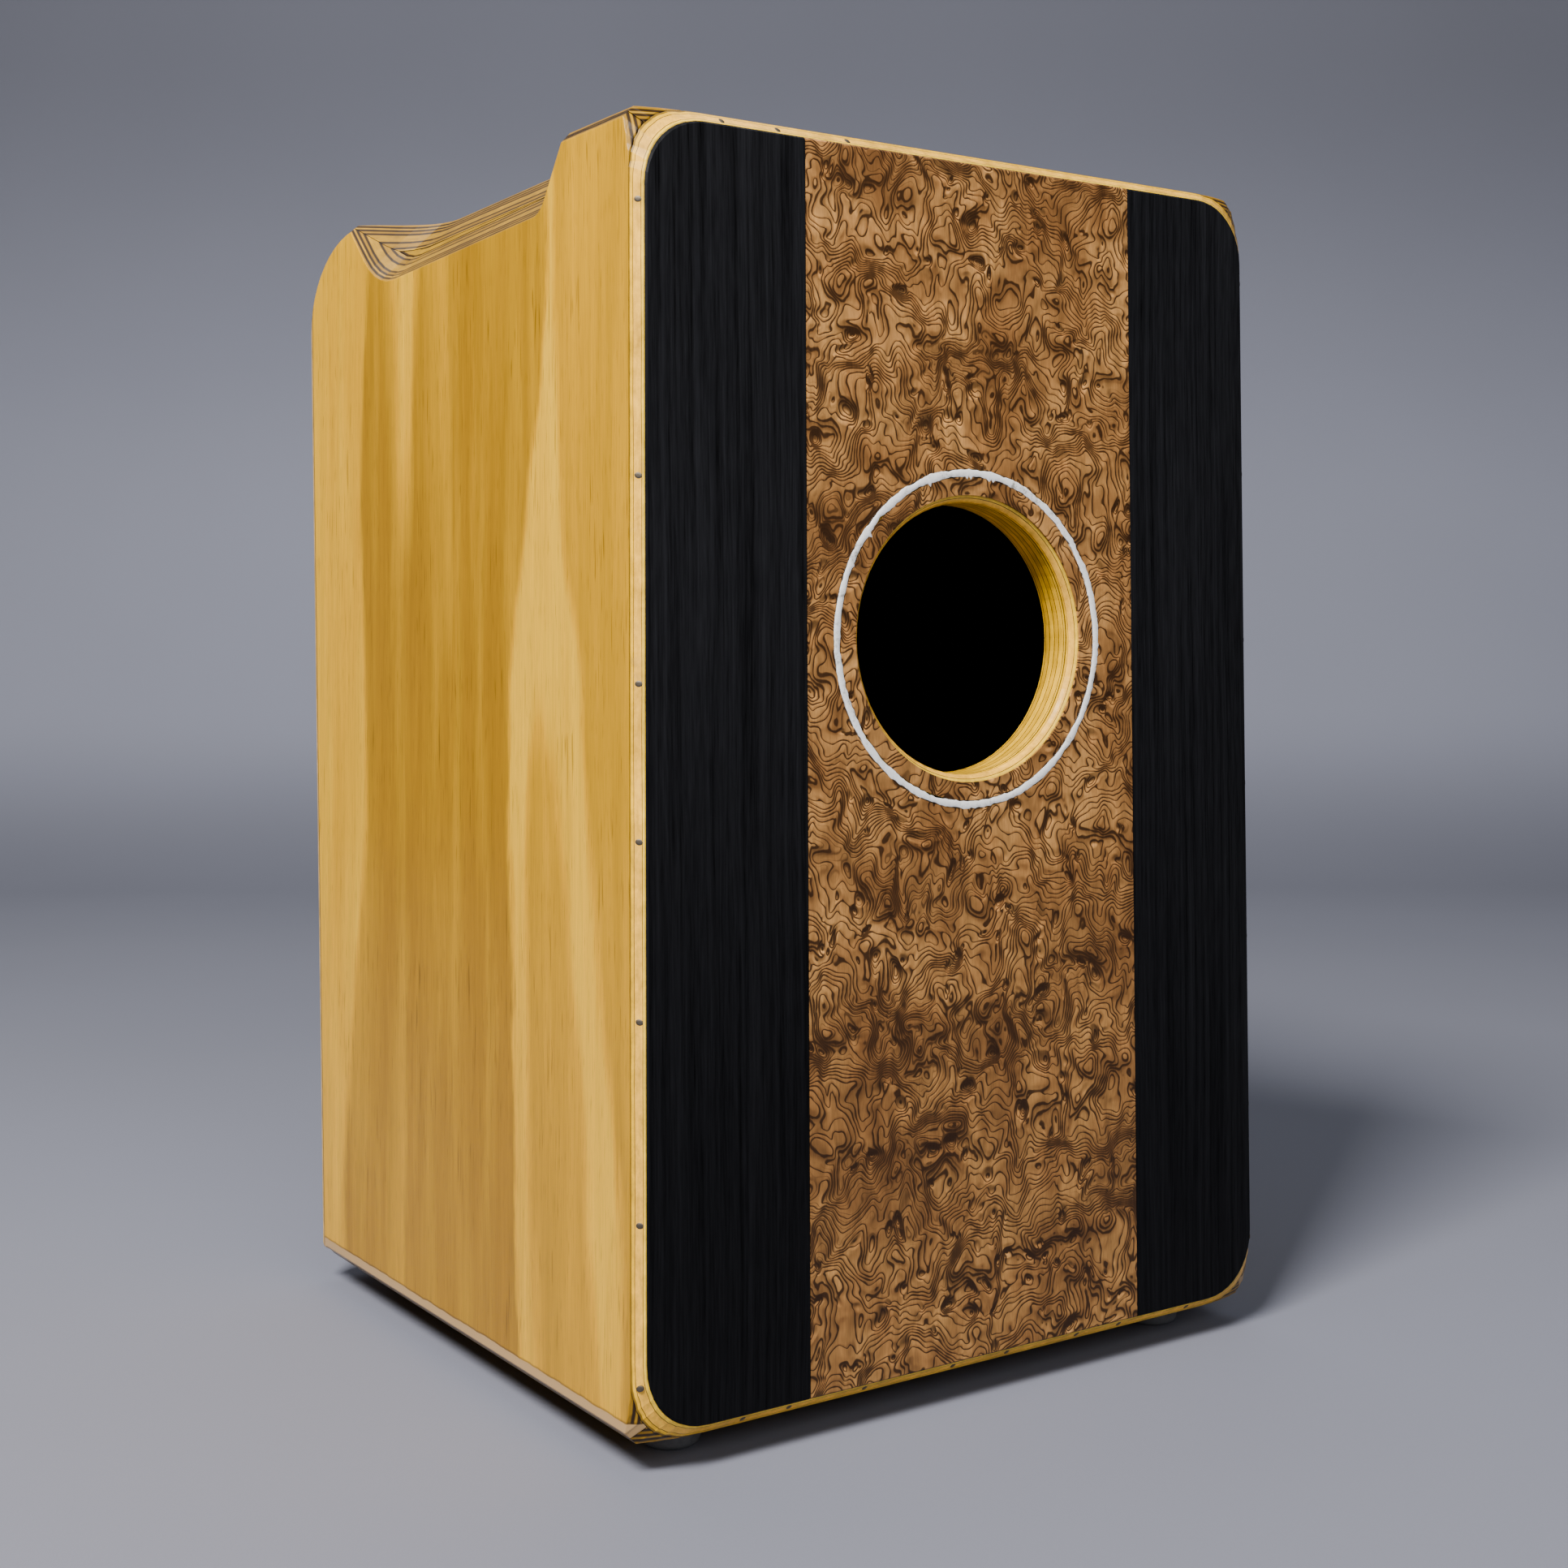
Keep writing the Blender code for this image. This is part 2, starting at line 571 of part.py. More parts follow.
def make_rear(whole, paint):
    low, high = BASE_Z - MARGIN, TOP_Z + MARGIN
    # Round pieces are turned about the hole's axis, from the rear face inwards.
    facing = Matrix.Translation((HOLE_X, BACK_Y, HOLE_Z)) @ Matrix.Rotation(-math.pi / 2, 4, "X")
    steps = 64

    def washer(inner, outer, z_low, z_high):
        return placed(turned([
            (inner, z_low), (outer, z_low), (outer, z_high), (inner, z_high), (inner, z_low),
        ], steps), facing)

    def disc(radius):
        return placed(cylinder(radius, -MARGIN, MARGIN, steps), facing)

    hole = add_object("cut_sound_hole", placed(turned(hole_outline(), steps), facing))
    channel = add_object("cut_ring_channel", washer(RING_IN - GAP, RING_OUT + GAP, -MARGIN, RING_T + GAP))
    stripe_core = add_object("cut_stripe_core", disc(RING_OUT + GAP))

    def layer(name, xs, ys, tint, cuts):
        return carve(name, box((xs[0], ys[0], low), (xs[1], ys[1], high)), whole, tint, cuts)

    stripe = (STRIPE_X - STRIPE_W / 2, STRIPE_X + STRIPE_W / 2)
    wide = WIDTH / 2 + MARGIN
    veneer = (BACK_Y - MARGIN, BACK_Y + VENEER_T)
    layer("rear_veneer_left", (-wide, stripe[0] - GAP / 2), veneer, paint["black"], [])
    layer("rear_veneer_right", (stripe[1] + GAP / 2, wide), veneer, paint["black"], [])
    centre = (stripe[0] + GAP / 2, stripe[1] - GAP / 2)
    layer("rear_veneer_center", centre, veneer, paint["burl"], [stripe_core])
    layer(
        "rear_panel", (-wide, wide), (BACK_Y + VENEER_T + GAP, BACK_Y + REAR_T), paint["rear"],
        [hole, channel],
    )
    rim = washer(HOLE_RIM_R, RING_IN - GAP, 0, VENEER_T)
    smooth(add_object("rear_veneer_rim", rim, paint["burl"]))
    smooth(add_object("rosette_ring", washer(RING_IN, RING_OUT, 0, RING_T), paint["pearl"]))
    collar_start = REAR_T + GAP
    collar_end = collar_start + COLLAR_T
    collar = turned([
        (HOLE_R, collar_start), (COLLAR_R, collar_start), (COLLAR_R, collar_end - COLLAR_EASE),
        (COLLAR_R - COLLAR_EASE, collar_end), (HOLE_R, collar_end), (HOLE_R, collar_start),
    ], steps)
    smooth(add_object("soundhole_collar", placed(collar, facing), paint["rear"]))


# ---------------------------------------------------------------- front
def make_front(whole, cutters, paint):
    low, high = BASE_Z - MARGIN, TOP_Z + MARGIN
    outline = [
        (tapa_inner_y(low), low), (front_y(low) + MARGIN, low),
        (front_y(high) + MARGIN, high), (tapa_inner_y(high), high),
    ]
    region = slab_x(outline, LEFT - MARGIN, RIGHT + MARGIN)
    carve("tapa", region, whole, paint["tapa"], [cutters["tapa_screws"]])
    for name, x, z in tapa_screw_places():
        seat = tapa_frame(x, z) @ Matrix.Translation((0, 0, GAP))
        head = (TAPA_SCREW_HEAD[0], TAPA_SCREW_HEAD[1] - GAP)
        make_screw(name, head, TAPA_SCREW_SHANK, seat, paint["steel"])


# ---------------------------------------------------------------- feet
def make_feet(paint):
    top = FOOT_H - GAP
    narrower, up = FOOT_TAPER
    profile = [
        (FOOT_RECESS_R, 0), (FOOT_R - narrower, 0), (FOOT_R - narrower / 2, up), (FOOT_R, top),
        (SCREW_HOLE_R, top), (SCREW_HOLE_R, FOOT_RECESS_TOP), (FOOT_RECESS_R, FOOT_RECESS_TOP),
        (FOOT_RECESS_R, 0),
    ]
    for name, x, y in foot_places():
        foot = add_object(f"foot_{name}", turned(profile, 24), paint["rubber"])
        foot.location = (x, y, 0)
        smooth(foot)
        upwards = Matrix.Translation((x, y, FOOT_RECESS_TOP - GAP)) @ Matrix.Rotation(math.pi, 4, "X")
        make_screw(f"foot_screw_{name}", FOOT_SCREW_HEAD, FOOT_SCREW_SHANK, upwards, paint["steel"])


# ---------------------------------------------------------------- strings and their tensioners
def string_ends():
    """Name, foot and head of each string, its foot in a carriage and its head in the anchor bar."""
    out = Vector((0.0, NORMAL_Y, -LEAN * NORMAL_Y))
    ends = []
    for side, word in ((-1, "left"), (1, "right")):
        for number, (foot_x, head_x) in enumerate(zip(STRING_FOOT_X, STRING_HEAD_X), 1):
            foot_z = CARRIAGE_LOW_Z + POCKET_FOOT - GAP - FERRULE_L
            head_z = anchor_low_z() + POCKET_HEAD + GAP + FERRULE_L
            foot = Vector((side * foot_x, tapa_inner_y(foot_z), foot_z)) - out * STRING_OFFSET
            head = Vector((side * head_x, tapa_inner_y(head_z), head_z)) - out * STRING_OFFSET
            ends.append((f"string_{word}_{number}", foot, head))
    return ends


def anchor_low_z():
    """Underside of the anchor bar, which hangs under the upper batten."""
    return TOP_Z - PANEL - GAP - BATTEN_TOP[1] - GAP - ANCHOR_SIZE[2]


def anchor_screw_places():
    z = anchor_low_z()
    y = tapa_inner_y(z) - ANCHOR_SCREW_BACK
    return [
        ("anchor_screw_left", -ANCHOR_SCREW_X, y, z), ("anchor_screw_right", ANCHOR_SCREW_X, y, z),
    ]


def make_strings(paint):
    for name, foot, head in string_ends():
        length = (head - foot).length
        shoulder = 0.0006       # length of the taper between ferrule and wire
        made = add_object(name, turned([
            (0, 0), (FERRULE_R, 0), (FERRULE_R, FERRULE_L - shoulder), (STRING_R, FERRULE_L),
            (STRING_R, length - FERRULE_L), (FERRULE_R, length - FERRULE_L + shoulder),
            (FERRULE_R, length), (0, length),
        ], 10), paint["string"])
        turn = (head - foot).to_track_quat("Z", "X").to_matrix().to_4x4()
        made.matrix_world = Matrix.Translation(foot) @ turn
        smooth(made)


def slots(name, z_low, z_high, half):
    """Slots that follow the strings between two heights, open towards the tapa."""
    parts = []
    for _, foot, head in string_ends():
        line = head - foot
        loops = []
        for z in (z_low, z_high):
            at = foot + line * ((z - foot.z) / line.z)
            loops.append([
                (at.x - half, at.y - half, z), (at.x + half, at.y - half, z),
                (at.x + half, at.y + MARGIN, z), (at.x - half, at.y + MARGIN, z),
            ])
        parts.append(loft(loops))
    return add_object(f"cut_{name}", joined(parts))


def make_anchor(paint):
    width, depth, height = ANCHOR_SIZE
    low = anchor_low_z()
    front = tapa_inner_y(low) - GAP
    bar = add_object("string_anchor_bar", box(
        (-width / 2, front - depth, low), (width / 2, front, low + height),
    ), paint["batten"])
    above = low + height + SLOT_PAST
    boolean(bar, "DIFFERENCE", slots("head_slots", low - SLOT_PAST, above, SLOT_HALF))
    boolean(bar, "DIFFERENCE", slots("head_pockets", low + POCKET_HEAD, above, POCKET_HALF))
    holes = [
        placed(cylinder(SCREW_HOLE_R, -MARGIN, MARGIN), Matrix.Translation((x, y, z)))
        for _, x, y, z in anchor_screw_places()
    ]
    boolean(bar, "DIFFERENCE", add_object("cut_anchor_bar_holes", joined(holes)))
    for name, x, y, z in anchor_screw_places():
        upwards = Matrix.Translation((x, y, z - GAP)) @ Matrix.Rotation(math.pi, 4, "X")
        make_screw(name, ANCHOR_SCREW_HEAD, ANCHOR_SCREW_SHANK, upwards, paint["steel"])


def make_tensioners(paint):
    width, depth, height = CARRIAGE_SIZE
    low, high = CARRIAGE_LOW_Z, CARRIAGE_LOW_Z + height
    narrow = slots("foot_slots", low - SLOT_PAST, high + SLOT_PAST, SLOT_HALF)
    pocket = slots("foot_pockets", low - SLOT_PAST, low + POCKET_FOOT, POCKET_HALF)
    head_r, head_h = BOLT_HEAD
    tip_in, tip_down = BOLT_TIP
    socket_r, socket_depth = HEX_SOCKET
    ledge = BASE_Z + COUNTERBORE - GAP      # the head bears upwards on the counterbore's floor
    sole = ledge - head_h
    for word, x, y in bolt_places():
        front = tapa_inner_y(low) - 2 * GAP
        block = box((-width / 2, front - depth - y, 0.0), (width / 2, front - y, height))
        carriage = add_object(f"string_carriage_{word}", block, paint["brass"])
        carriage.location = (x, y, low)
        boolean(carriage, "DIFFERENCE", narrow)
        boolean(carriage, "DIFFERENCE", pocket)
        thread = add_object(f"cut_thread_{word}", cylinder(BOLT_R + GAP, 0, BOLT_TOP_Z + MARGIN, 20))
        thread.location = (x, y, 0)
        boolean(carriage, "DIFFERENCE", thread)
        weld(carriage)

        bolt = add_object(f"tension_bolt_{word}", turned([
            (0, sole), (head_r - BOLT_EASE, sole), (head_r, sole + BOLT_EASE),
            (head_r, ledge), (BOLT_R, ledge), (BOLT_R, BOLT_TOP_Z - tip_down),
            (BOLT_R - tip_in, BOLT_TOP_Z), (0, BOLT_TOP_Z),
        ], 20), paint["steel"])
        bolt.location = (x, y, 0)
        socket = add_object(f"cut_hex_socket_{word}", cylinder(socket_r, -MARGIN, sole + socket_depth, 6))
        socket.location = (x, y, 0)
        boolean(bolt, "DIFFERENCE", socket)
        smooth(bolt)


# ---------------------------------------------------------------- assembly
def main():
    for old in list(bpy.data.objects):
        bpy.data.objects.remove(old, do_unlink=True)
    paint = make_materials()
    whole, carcass = make_forms()
    cutters = make_hole_cutters()
    make_carcass(carcass, cutters, paint)
    make_battens(carcass, cutters, paint)
    make_rear(whole, paint)
    make_front(whole, cutters, paint)
    make_feet(paint)
    make_strings(paint)
    make_anchor(paint)
    make_tensioners(paint)
    bpy.context.view_layer.update()


main()
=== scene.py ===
import math
import random

import bmesh
import bpy
from mathutils import Matrix, Vector, noise


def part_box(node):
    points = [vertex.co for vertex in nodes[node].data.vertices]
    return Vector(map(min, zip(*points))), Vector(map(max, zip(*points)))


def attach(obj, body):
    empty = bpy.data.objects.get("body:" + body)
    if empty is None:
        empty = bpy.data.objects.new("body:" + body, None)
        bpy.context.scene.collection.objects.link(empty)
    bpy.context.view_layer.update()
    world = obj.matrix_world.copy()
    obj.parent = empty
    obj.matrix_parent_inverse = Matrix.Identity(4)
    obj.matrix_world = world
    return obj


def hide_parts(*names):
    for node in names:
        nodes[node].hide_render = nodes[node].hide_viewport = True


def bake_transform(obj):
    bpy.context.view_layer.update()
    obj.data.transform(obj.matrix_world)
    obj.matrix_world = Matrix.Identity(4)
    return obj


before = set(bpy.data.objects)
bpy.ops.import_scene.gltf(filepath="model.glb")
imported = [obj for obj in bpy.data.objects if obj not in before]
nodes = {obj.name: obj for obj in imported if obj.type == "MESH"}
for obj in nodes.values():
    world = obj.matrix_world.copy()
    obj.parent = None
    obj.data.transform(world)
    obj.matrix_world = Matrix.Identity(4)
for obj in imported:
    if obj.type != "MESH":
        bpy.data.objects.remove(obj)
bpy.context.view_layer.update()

boxBody = "cajon_box"

# Places that the materials and pieces share, in metres. All but the last three are read from the frame.
sideLow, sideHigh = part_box("right_side_panel")
ringLow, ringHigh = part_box("rosette_ring")
halfWidth = sideHigh.x
panelThick = sideHigh.x - sideLow.x
baseZ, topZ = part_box("bottom_panel")[0].z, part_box("top_panel")[1].z
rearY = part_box("rear_veneer_left")[0].y
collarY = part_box("soundhole_collar")[0].y
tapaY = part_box("tapa")[1].y
holeX = (ringLow.x + ringHigh.x) / 2
holeZ = (ringLow.z + ringHigh.z) / 2
holeRadius = 0.0525  # the throat of the sound hole
frontLean = 0.0426  # how far the front leans out for each metre up
mm = 0.001


# Camera, floor and light
shot = {
    "cameraAt": (-0.5143, -0.7812, 0.2909),
    "yaw": -34.07,
    "pitch": 1.753,
    "roll": -0.235,
    "lens": 47.9,
    "shiftUp": -0.1328,
    "floorColor": (0.195, 0.204, 0.256),
    "floorSize": 6.0,
    "wallBehind": 1.5,
    "wallBend": 0.7,
    "wallHeight": 3.0,
    "worldColor": (0.62, 0.65, 0.70),
    "worldStrength": 0.10,
}

lamps = {
    "key": {"at": (-1.40, -0.80, 2.00), "size": 0.7, "power": 140, "color": (1.0, 0.97, 0.93)},
    "front": {"at": (-0.55, -2.2, 1.35), "size": 1.2, "power": 18, "color": (0.97, 0.98, 1.0)},
    "overhead": {"at": (0.3, 0.7, 2.3), "size": 1.8, "power": 14, "color": (0.95, 0.97, 1.0)},
}


def makeCamera():
    camera = bpy.data.objects.new("camera", bpy.data.cameras.new("camera"))
    bpy.context.scene.collection.objects.link(camera)
    camera.data.sensor_width = 36
    camera.data.lens = shot["lens"]
    camera.data.shift_y = shot["shiftUp"]
    camera.data.clip_start = 0.05
    turn = (
        Matrix.Rotation(math.radians(shot["yaw"]), 4, "Z")
        @ Matrix.Rotation(math.radians(90 + shot["pitch"]), 4, "X")
        @ Matrix.Rotation(math.radians(shot["roll"]), 4, "Z")
    )
    camera.matrix_world = Matrix.Translation(shot["cameraAt"]) @ turn
    bpy.context.scene.camera = camera


def makeFloor():
    # One sheet: a flat floor that bends up into a wall behind the object, square to the view.
    bm = bmesh.new()
    half = shot["floorSize"] / 2
    start, bend = shot["wallBehind"], shot["wallBend"]
    profile = [(-half, 0.0), (start, 0.0)]
    for i in range(1, 17):
        angle = math.pi / 2 * i / 16
        profile.append((start + bend * math.sin(angle), bend * (1 - math.cos(angle))))
    profile.append((start + bend, shot["wallHeight"]))
    rows = [[bm.verts.new((side * half * 1.6, y, z)) for y, z in profile] for side in (-1, 1)]
    for i in range(len(profile) - 1):
        bm.faces.new((rows[0][i], rows[1][i], rows[1][i + 1], rows[0][i + 1]))
    mesh = bpy.data.meshes.new("floor")
    bm.to_mesh(mesh)
    bm.free()
    mesh.shade_smooth()
    floor = bpy.data.objects.new("floor", mesh)
    bpy.context.scene.collection.objects.link(floor)
    floor.matrix_world = Matrix.Rotation(math.radians(shot["yaw"]), 4, "Z")
    return floor


def makeLamps():
    target = Vector((0, 0, 0.22))
    for name, values in lamps.items():
        light = bpy.data.lights.new(name, "AREA")
        light.size = values["size"]
        light.energy = values["power"]
        light.color = values["color"]
        lamp = bpy.data.objects.new(name, light)
        bpy.context.scene.collection.objects.link(lamp)
        lamp.location = values["at"]
        lamp.rotation_euler = (target - lamp.location).to_track_quat("-Z", "Y").to_euler()
    world = bpy.data.worlds.new("studio")
    world.use_nodes = True
    background = world.node_tree.nodes["Background"]
    background.inputs["Color"].default_value = (*shot["worldColor"], 1)
    background.inputs["Strength"].default_value = shot["worldStrength"]
    bpy.context.scene.world = world


# Node trees
class Graph:
    # A material's node tree, with one short call for each kind of node that the finishes need.
    def __init__(self, name):
        self.material = bpy.data.materials.new(name)
        self.material.use_nodes = True
        self.tree = self.material.node_tree
        self.tree.nodes.clear()
        self.shader = self.add("ShaderNodeBsdfPrincipled")
        output = self.add("ShaderNodeOutputMaterial")
        self.tree.links.new(self.shader.outputs[0], output.inputs[0])
        self.place = self.add("ShaderNodeTexCoord").outputs["Object"]
        split = self.add("ShaderNodeSeparateXYZ", {0: self.place})
        self.x, self.y, self.z = split.outputs

    def add(self, kind, inputs=None, **settings):
        node = self.tree.nodes.new(kind)
        for key, value in settings.items():
            setattr(node, key, value)
        for key, value in (inputs or {}).items():
            self.feed(node.inputs[key], value)
        return node

    def feed(self, socket, value):
        if isinstance(value, bpy.types.NodeSocket):
            self.tree.links.new(value, socket)
        elif socket.type == "RGBA" and len(value) == 3:
            socket.default_value = (*value, 1)
        else:
            socket.default_value = value

    def calc(self, operation, a, b=0.0, c=0.0):
        return self.add("ShaderNodeMath", {0: a, 1: b, 2: c}, operation=operation).outputs[0]

    def plus(self, a, b):
        return self.calc("ADD", a, b)

    def minus(self, a, b):
        return self.calc("SUBTRACT", a, b)

    def times(self, a, b):
        return self.calc("MULTIPLY", a, b)

    def span(self, value, low, high, toLow=0.0, toHigh=1.0, kind="SMOOTHSTEP"):
        node = self.add("ShaderNodeMapRange", interpolation_type=kind)
        for socket, fed in zip(node.inputs[:5], (value, low, high, toLow, toHigh)):
            self.feed(socket, fed)
        return node.outputs[0]

    def vector(self, x, y, z):
        return self.add("ShaderNodeCombineXYZ", {0: x, 1: y, 2: z}).outputs[0]

    def scaled(self, vector, scale, offset=(0, 0, 0)):
        return self.add("ShaderNodeMapping", {0: vector, 1: offset, 3: scale}).outputs[0]

    def noise(self, vector, scale=1.0, detail=2.0, roughness=0.5, distortion=0.0):
        node = self.add("ShaderNodeTexNoise", {"Vector": vector, "Scale": scale, "Detail": detail})
        node.inputs["Roughness"].default_value = roughness
        node.inputs["Distortion"].default_value = distortion
        return node.outputs["Fac"]

    def ramp(self, value, stops, kind="LINEAR"):
        node = self.add("ShaderNodeValToRGB", {0: value})
        ramp = node.color_ramp
        ramp.interpolation = kind
        while len(ramp.elements) < len(stops):
            ramp.elements.new(0.5)
        for element, (at, color) in zip(ramp.elements, stops):
            element.position = at
            element.color = (*color, 1)
        return node.outputs[0]

    def curve(self, value, points, inside, outside):
        # A smooth line through points; inside and outside are the ranges of its two directions.
        reach = inside[1] - inside[0]
        height = outside[1] - outside[0]
        node = self.add("ShaderNodeFloatCurve", {1: self.span(value, *inside, kind="LINEAR")})
        line = node.mapping.curves[0].points
        while len(line) < len(points):
            line.new(0.5, 0.5)
        for point, (a, b) in zip(line, sorted(points)):
            point.location = ((a - inside[0]) / reach, (b - outside[0]) / height)
        node.mapping.update()
        return self.span(node.outputs[0], 0, 1, *outside, kind="LINEAR")

    def mix(self, factor, a, b, mode="MIX"):
        node = self.add("ShaderNodeMix", {0: factor, 6: a, 7: b}, data_type="RGBA", blend_type=mode)
        return node.outputs[2]

    def shade(self, color, factor):
        # Multiplies a colour by a number.
        node = self.add("ShaderNodeVectorMath", {0: color}, operation="SCALE")
        self.feed(node.inputs["Scale"], factor)
        return node.outputs[0]

    def bump(self, height, distance, strength=1.0, normal=None):
        node = self.add("ShaderNodeBump", {"Height": height, "Distance": distance, "Strength": strength})
        if normal is not None:
            self.feed(node.inputs["Normal"], normal)
        return node.outputs["Normal"]

    def softEdges(self, radius):
        return self.add("ShaderNodeBevel", {"Radius": radius}, samples=4).outputs["Normal"]

    def finish(self, color, roughness, normal=None, **values):
        self.feed(self.shader.inputs["Base Color"], color)
        self.feed(self.shader.inputs["Roughness"], roughness)
        if normal is not None:
            self.feed(self.shader.inputs["Normal"], normal)
        for name, value in values.items():
            self.shader.inputs[name].default_value = value
        return self.material


# Woods
lacquer = {"Coat Weight": 0.22, "Coat Roughness": 0.10, "Specular IOR Level": 0.22}

pine = {
    "deep": (0.350, 0.166, 0.0010),
    "middle": (0.475, 0.240, 0.0014),
    "pale": (0.680, 0.338, 0.0030),
    "cream": (0.820, 0.455, 0.0140),
    "glue": (0.030, 0.014, 0.003),
    "worn": (0.480, 0.300, 0.130),
    "fleck": (0.070, 0.030, 0.0015),
    "rim": (0.170, 0.085, 0.0140),
    "roughness": 0.34,
}

# Pale streaks in the face veneer of a side. Each has its rear and front edge as (height, depth) points,
# how soft the two edges are, and the heights that it fades between.
leftStreaks = [
    {
        "rear": [(0.017, -0.142), (0.101, -0.1406), (0.125, -0.1342), (0.165, -0.1262), (0.245, -0.1162),
                 (0.285, -0.1118), (0.325, -0.099), (0.365, -0.0958), (0.480, -0.093)],
        "front": [(0.017, -0.0646), (0.085, -0.061), (0.165, -0.0566), (0.205, -0.055), (0.245, -0.0562),
                  (0.285, -0.059), (0.325, -0.0666), (0.365, -0.077), (0.393, -0.0846), (0.480, -0.086)],
        "soft": (0.004, 0.0016), "heights": (-0.1, 0.0, 0.455, 0.500), "strength": 1.0,
    },
    {
        "rear": [(0.017, -0.1286), (0.085, -0.1198), (0.125, -0.115), (0.165, -0.1062), (0.205, -0.099),
                 (0.245, -0.0918), (0.267, -0.085), (0.480, -0.079)],
        "front": [(0.017, -0.079), (0.085, -0.075), (0.165, -0.0702), (0.205, -0.069), (0.245, -0.0718),
                  (0.267, -0.077), (0.480, -0.079)],
        "soft": (0.006, 0.0035), "heights": (-0.1, 0.0, 0.235, 0.285), "strength": -0.72,
    },
    {
        "rear": [(0.017, 0.105), (0.045, 0.107), (0.085, 0.103), (0.125, 0.097), (0.165, 0.0898),
                 (0.205, 0.085), (0.245, 0.0842), (0.285, 0.0862), (0.325, 0.0906), (0.405, 0.0898),
                 (0.449, 0.0842), (0.480, 0.083)],
        "front": [(0.0, 0.19), (0.480, 0.19)],
        "soft": (0.003, 0.02), "heights": (-0.1, 0.0, 0.9, 1.0), "strength": 0.78,
    },
    {
        "rear": [(0.30, 0.035), (0.365, 0.037), (0.445, 0.031), (0.480, 0.029)],
        "front": [(0.30, 0.052), (0.365, 0.053), (0.445, 0.060), (0.480, 0.062)],
        "soft": (0.0025, 0.010), "heights": (0.305, 0.385, 0.6, 0.7), "strength": 0.85,
    },
    {
        "rear": [(0.017, 0.0405), (0.10, 0.0395), (0.185, 0.0405), (0.3, 0.043)],
        "front": [(0.017, 0.058), (0.10, 0.054), (0.185, 0.046), (0.3, 0.045)],
        "soft": (0.002, 0.012), "heights": (-0.1, 0.0, 0.15, 0.205), "strength": 0.42,
    },
    {
        "rear": [(0.25, -0.006), (0.36, -0.0035), (0.48, 0.002)],
        "front": [(0.25, 0.004), (0.36, 0.005), (0.48, 0.024)],
        "soft": (0.0025, 0.012), "heights": (0.27, 0.31, 0.6, 0.7), "strength": 0.40,
    },
    {
        "rear": [(0.0, -0.19), (0.480, -0.19)],
        "front": [(0.0, -0.148), (0.101, -0.142), (0.165, -0.128), (0.285, -0.110), (0.365, -0.092),
                  (0.480, -0.080)],
        "soft": (0.003, 0.012), "heights": (0.0, 0.2, 0.6, 0.7), "strength": 0.38,
    },
]

rightStreaks = [
    {
        "rear": [(0.017, -0.118), (0.13, -0.108), (0.26, -0.112), (0.36, -0.094), (0.48, -0.088)],
        "front": [(0.017, -0.060), (0.13, -0.068), (0.26, -0.058), (0.36, -0.071), (0.48, -0.076)],
        "soft": (0.002, 0.008), "heights": (-0.1, 0.0, 0.40, 0.49), "strength": 0.9,
    },
    {
        "rear": [(0.017, -0.012), (0.15, -0.004), (0.30, -0.015), (0.48, -0.009)],
        "front": [(0.017, 0.024), (0.15, 0.016), (0.30, 0.021), (0.48, 0.030)],
        "soft": (0.009, 0.002), "heights": (0.02, 0.16, 0.9, 1.0), "strength": 0.7,
    },
    {
        "rear": [(0.017, 0.080), (0.16, 0.094), (0.31, 0.083), (0.48, 0.089)],
        "front": [(0.0, 0.19), (0.480, 0.19)],
        "soft": (0.003, 0.02), "heights": (-0.1, 0.0, 0.9, 1.0), "strength": 0.75,
    },
]


def streakMask(graph, across, up, streaks):
    # How pale the veneer is at a point; a negative strength darkens a streak's own middle.
    depths, heights = (-0.2, 0.2), (0.0, 0.5)
    jag = graph.noise(graph.vector(graph.times(across, 130), graph.times(up, 16), 0.3), detail=5,
                      roughness=0.68)
    sway = graph.noise(graph.vector(graph.times(across, 14), graph.times(up, 9), 4.1), detail=1)
    moved = graph.plus(across, graph.span(jag, 0, 1, -0.0065, 0.0065, "LINEAR"))
    moved = graph.plus(moved, graph.span(sway, 0, 1, -0.0040, 0.0040, "LINEAR"))
    total = 0.0
    for streak in streaks:
        rear = graph.curve(up, streak["rear"], heights, depths)
        front = graph.curve(up, streak["front"], heights, depths)
        softRear, softFront = (soft + 1.2 * mm for soft in streak["soft"])
        inner = graph.span(graph.minus(moved, rear), -softRear, softRear)
        outer = graph.span(graph.minus(front, moved), -softFront, softFront)
        rise, full, fall, gone = streak["heights"]
        within = graph.times(graph.span(up, rise, full), graph.span(up, fall, gone, 1, 0))
        share = graph.times(graph.times(inner, outer), graph.times(within, streak["strength"]))
        total = graph.plus(total, share)
    return total


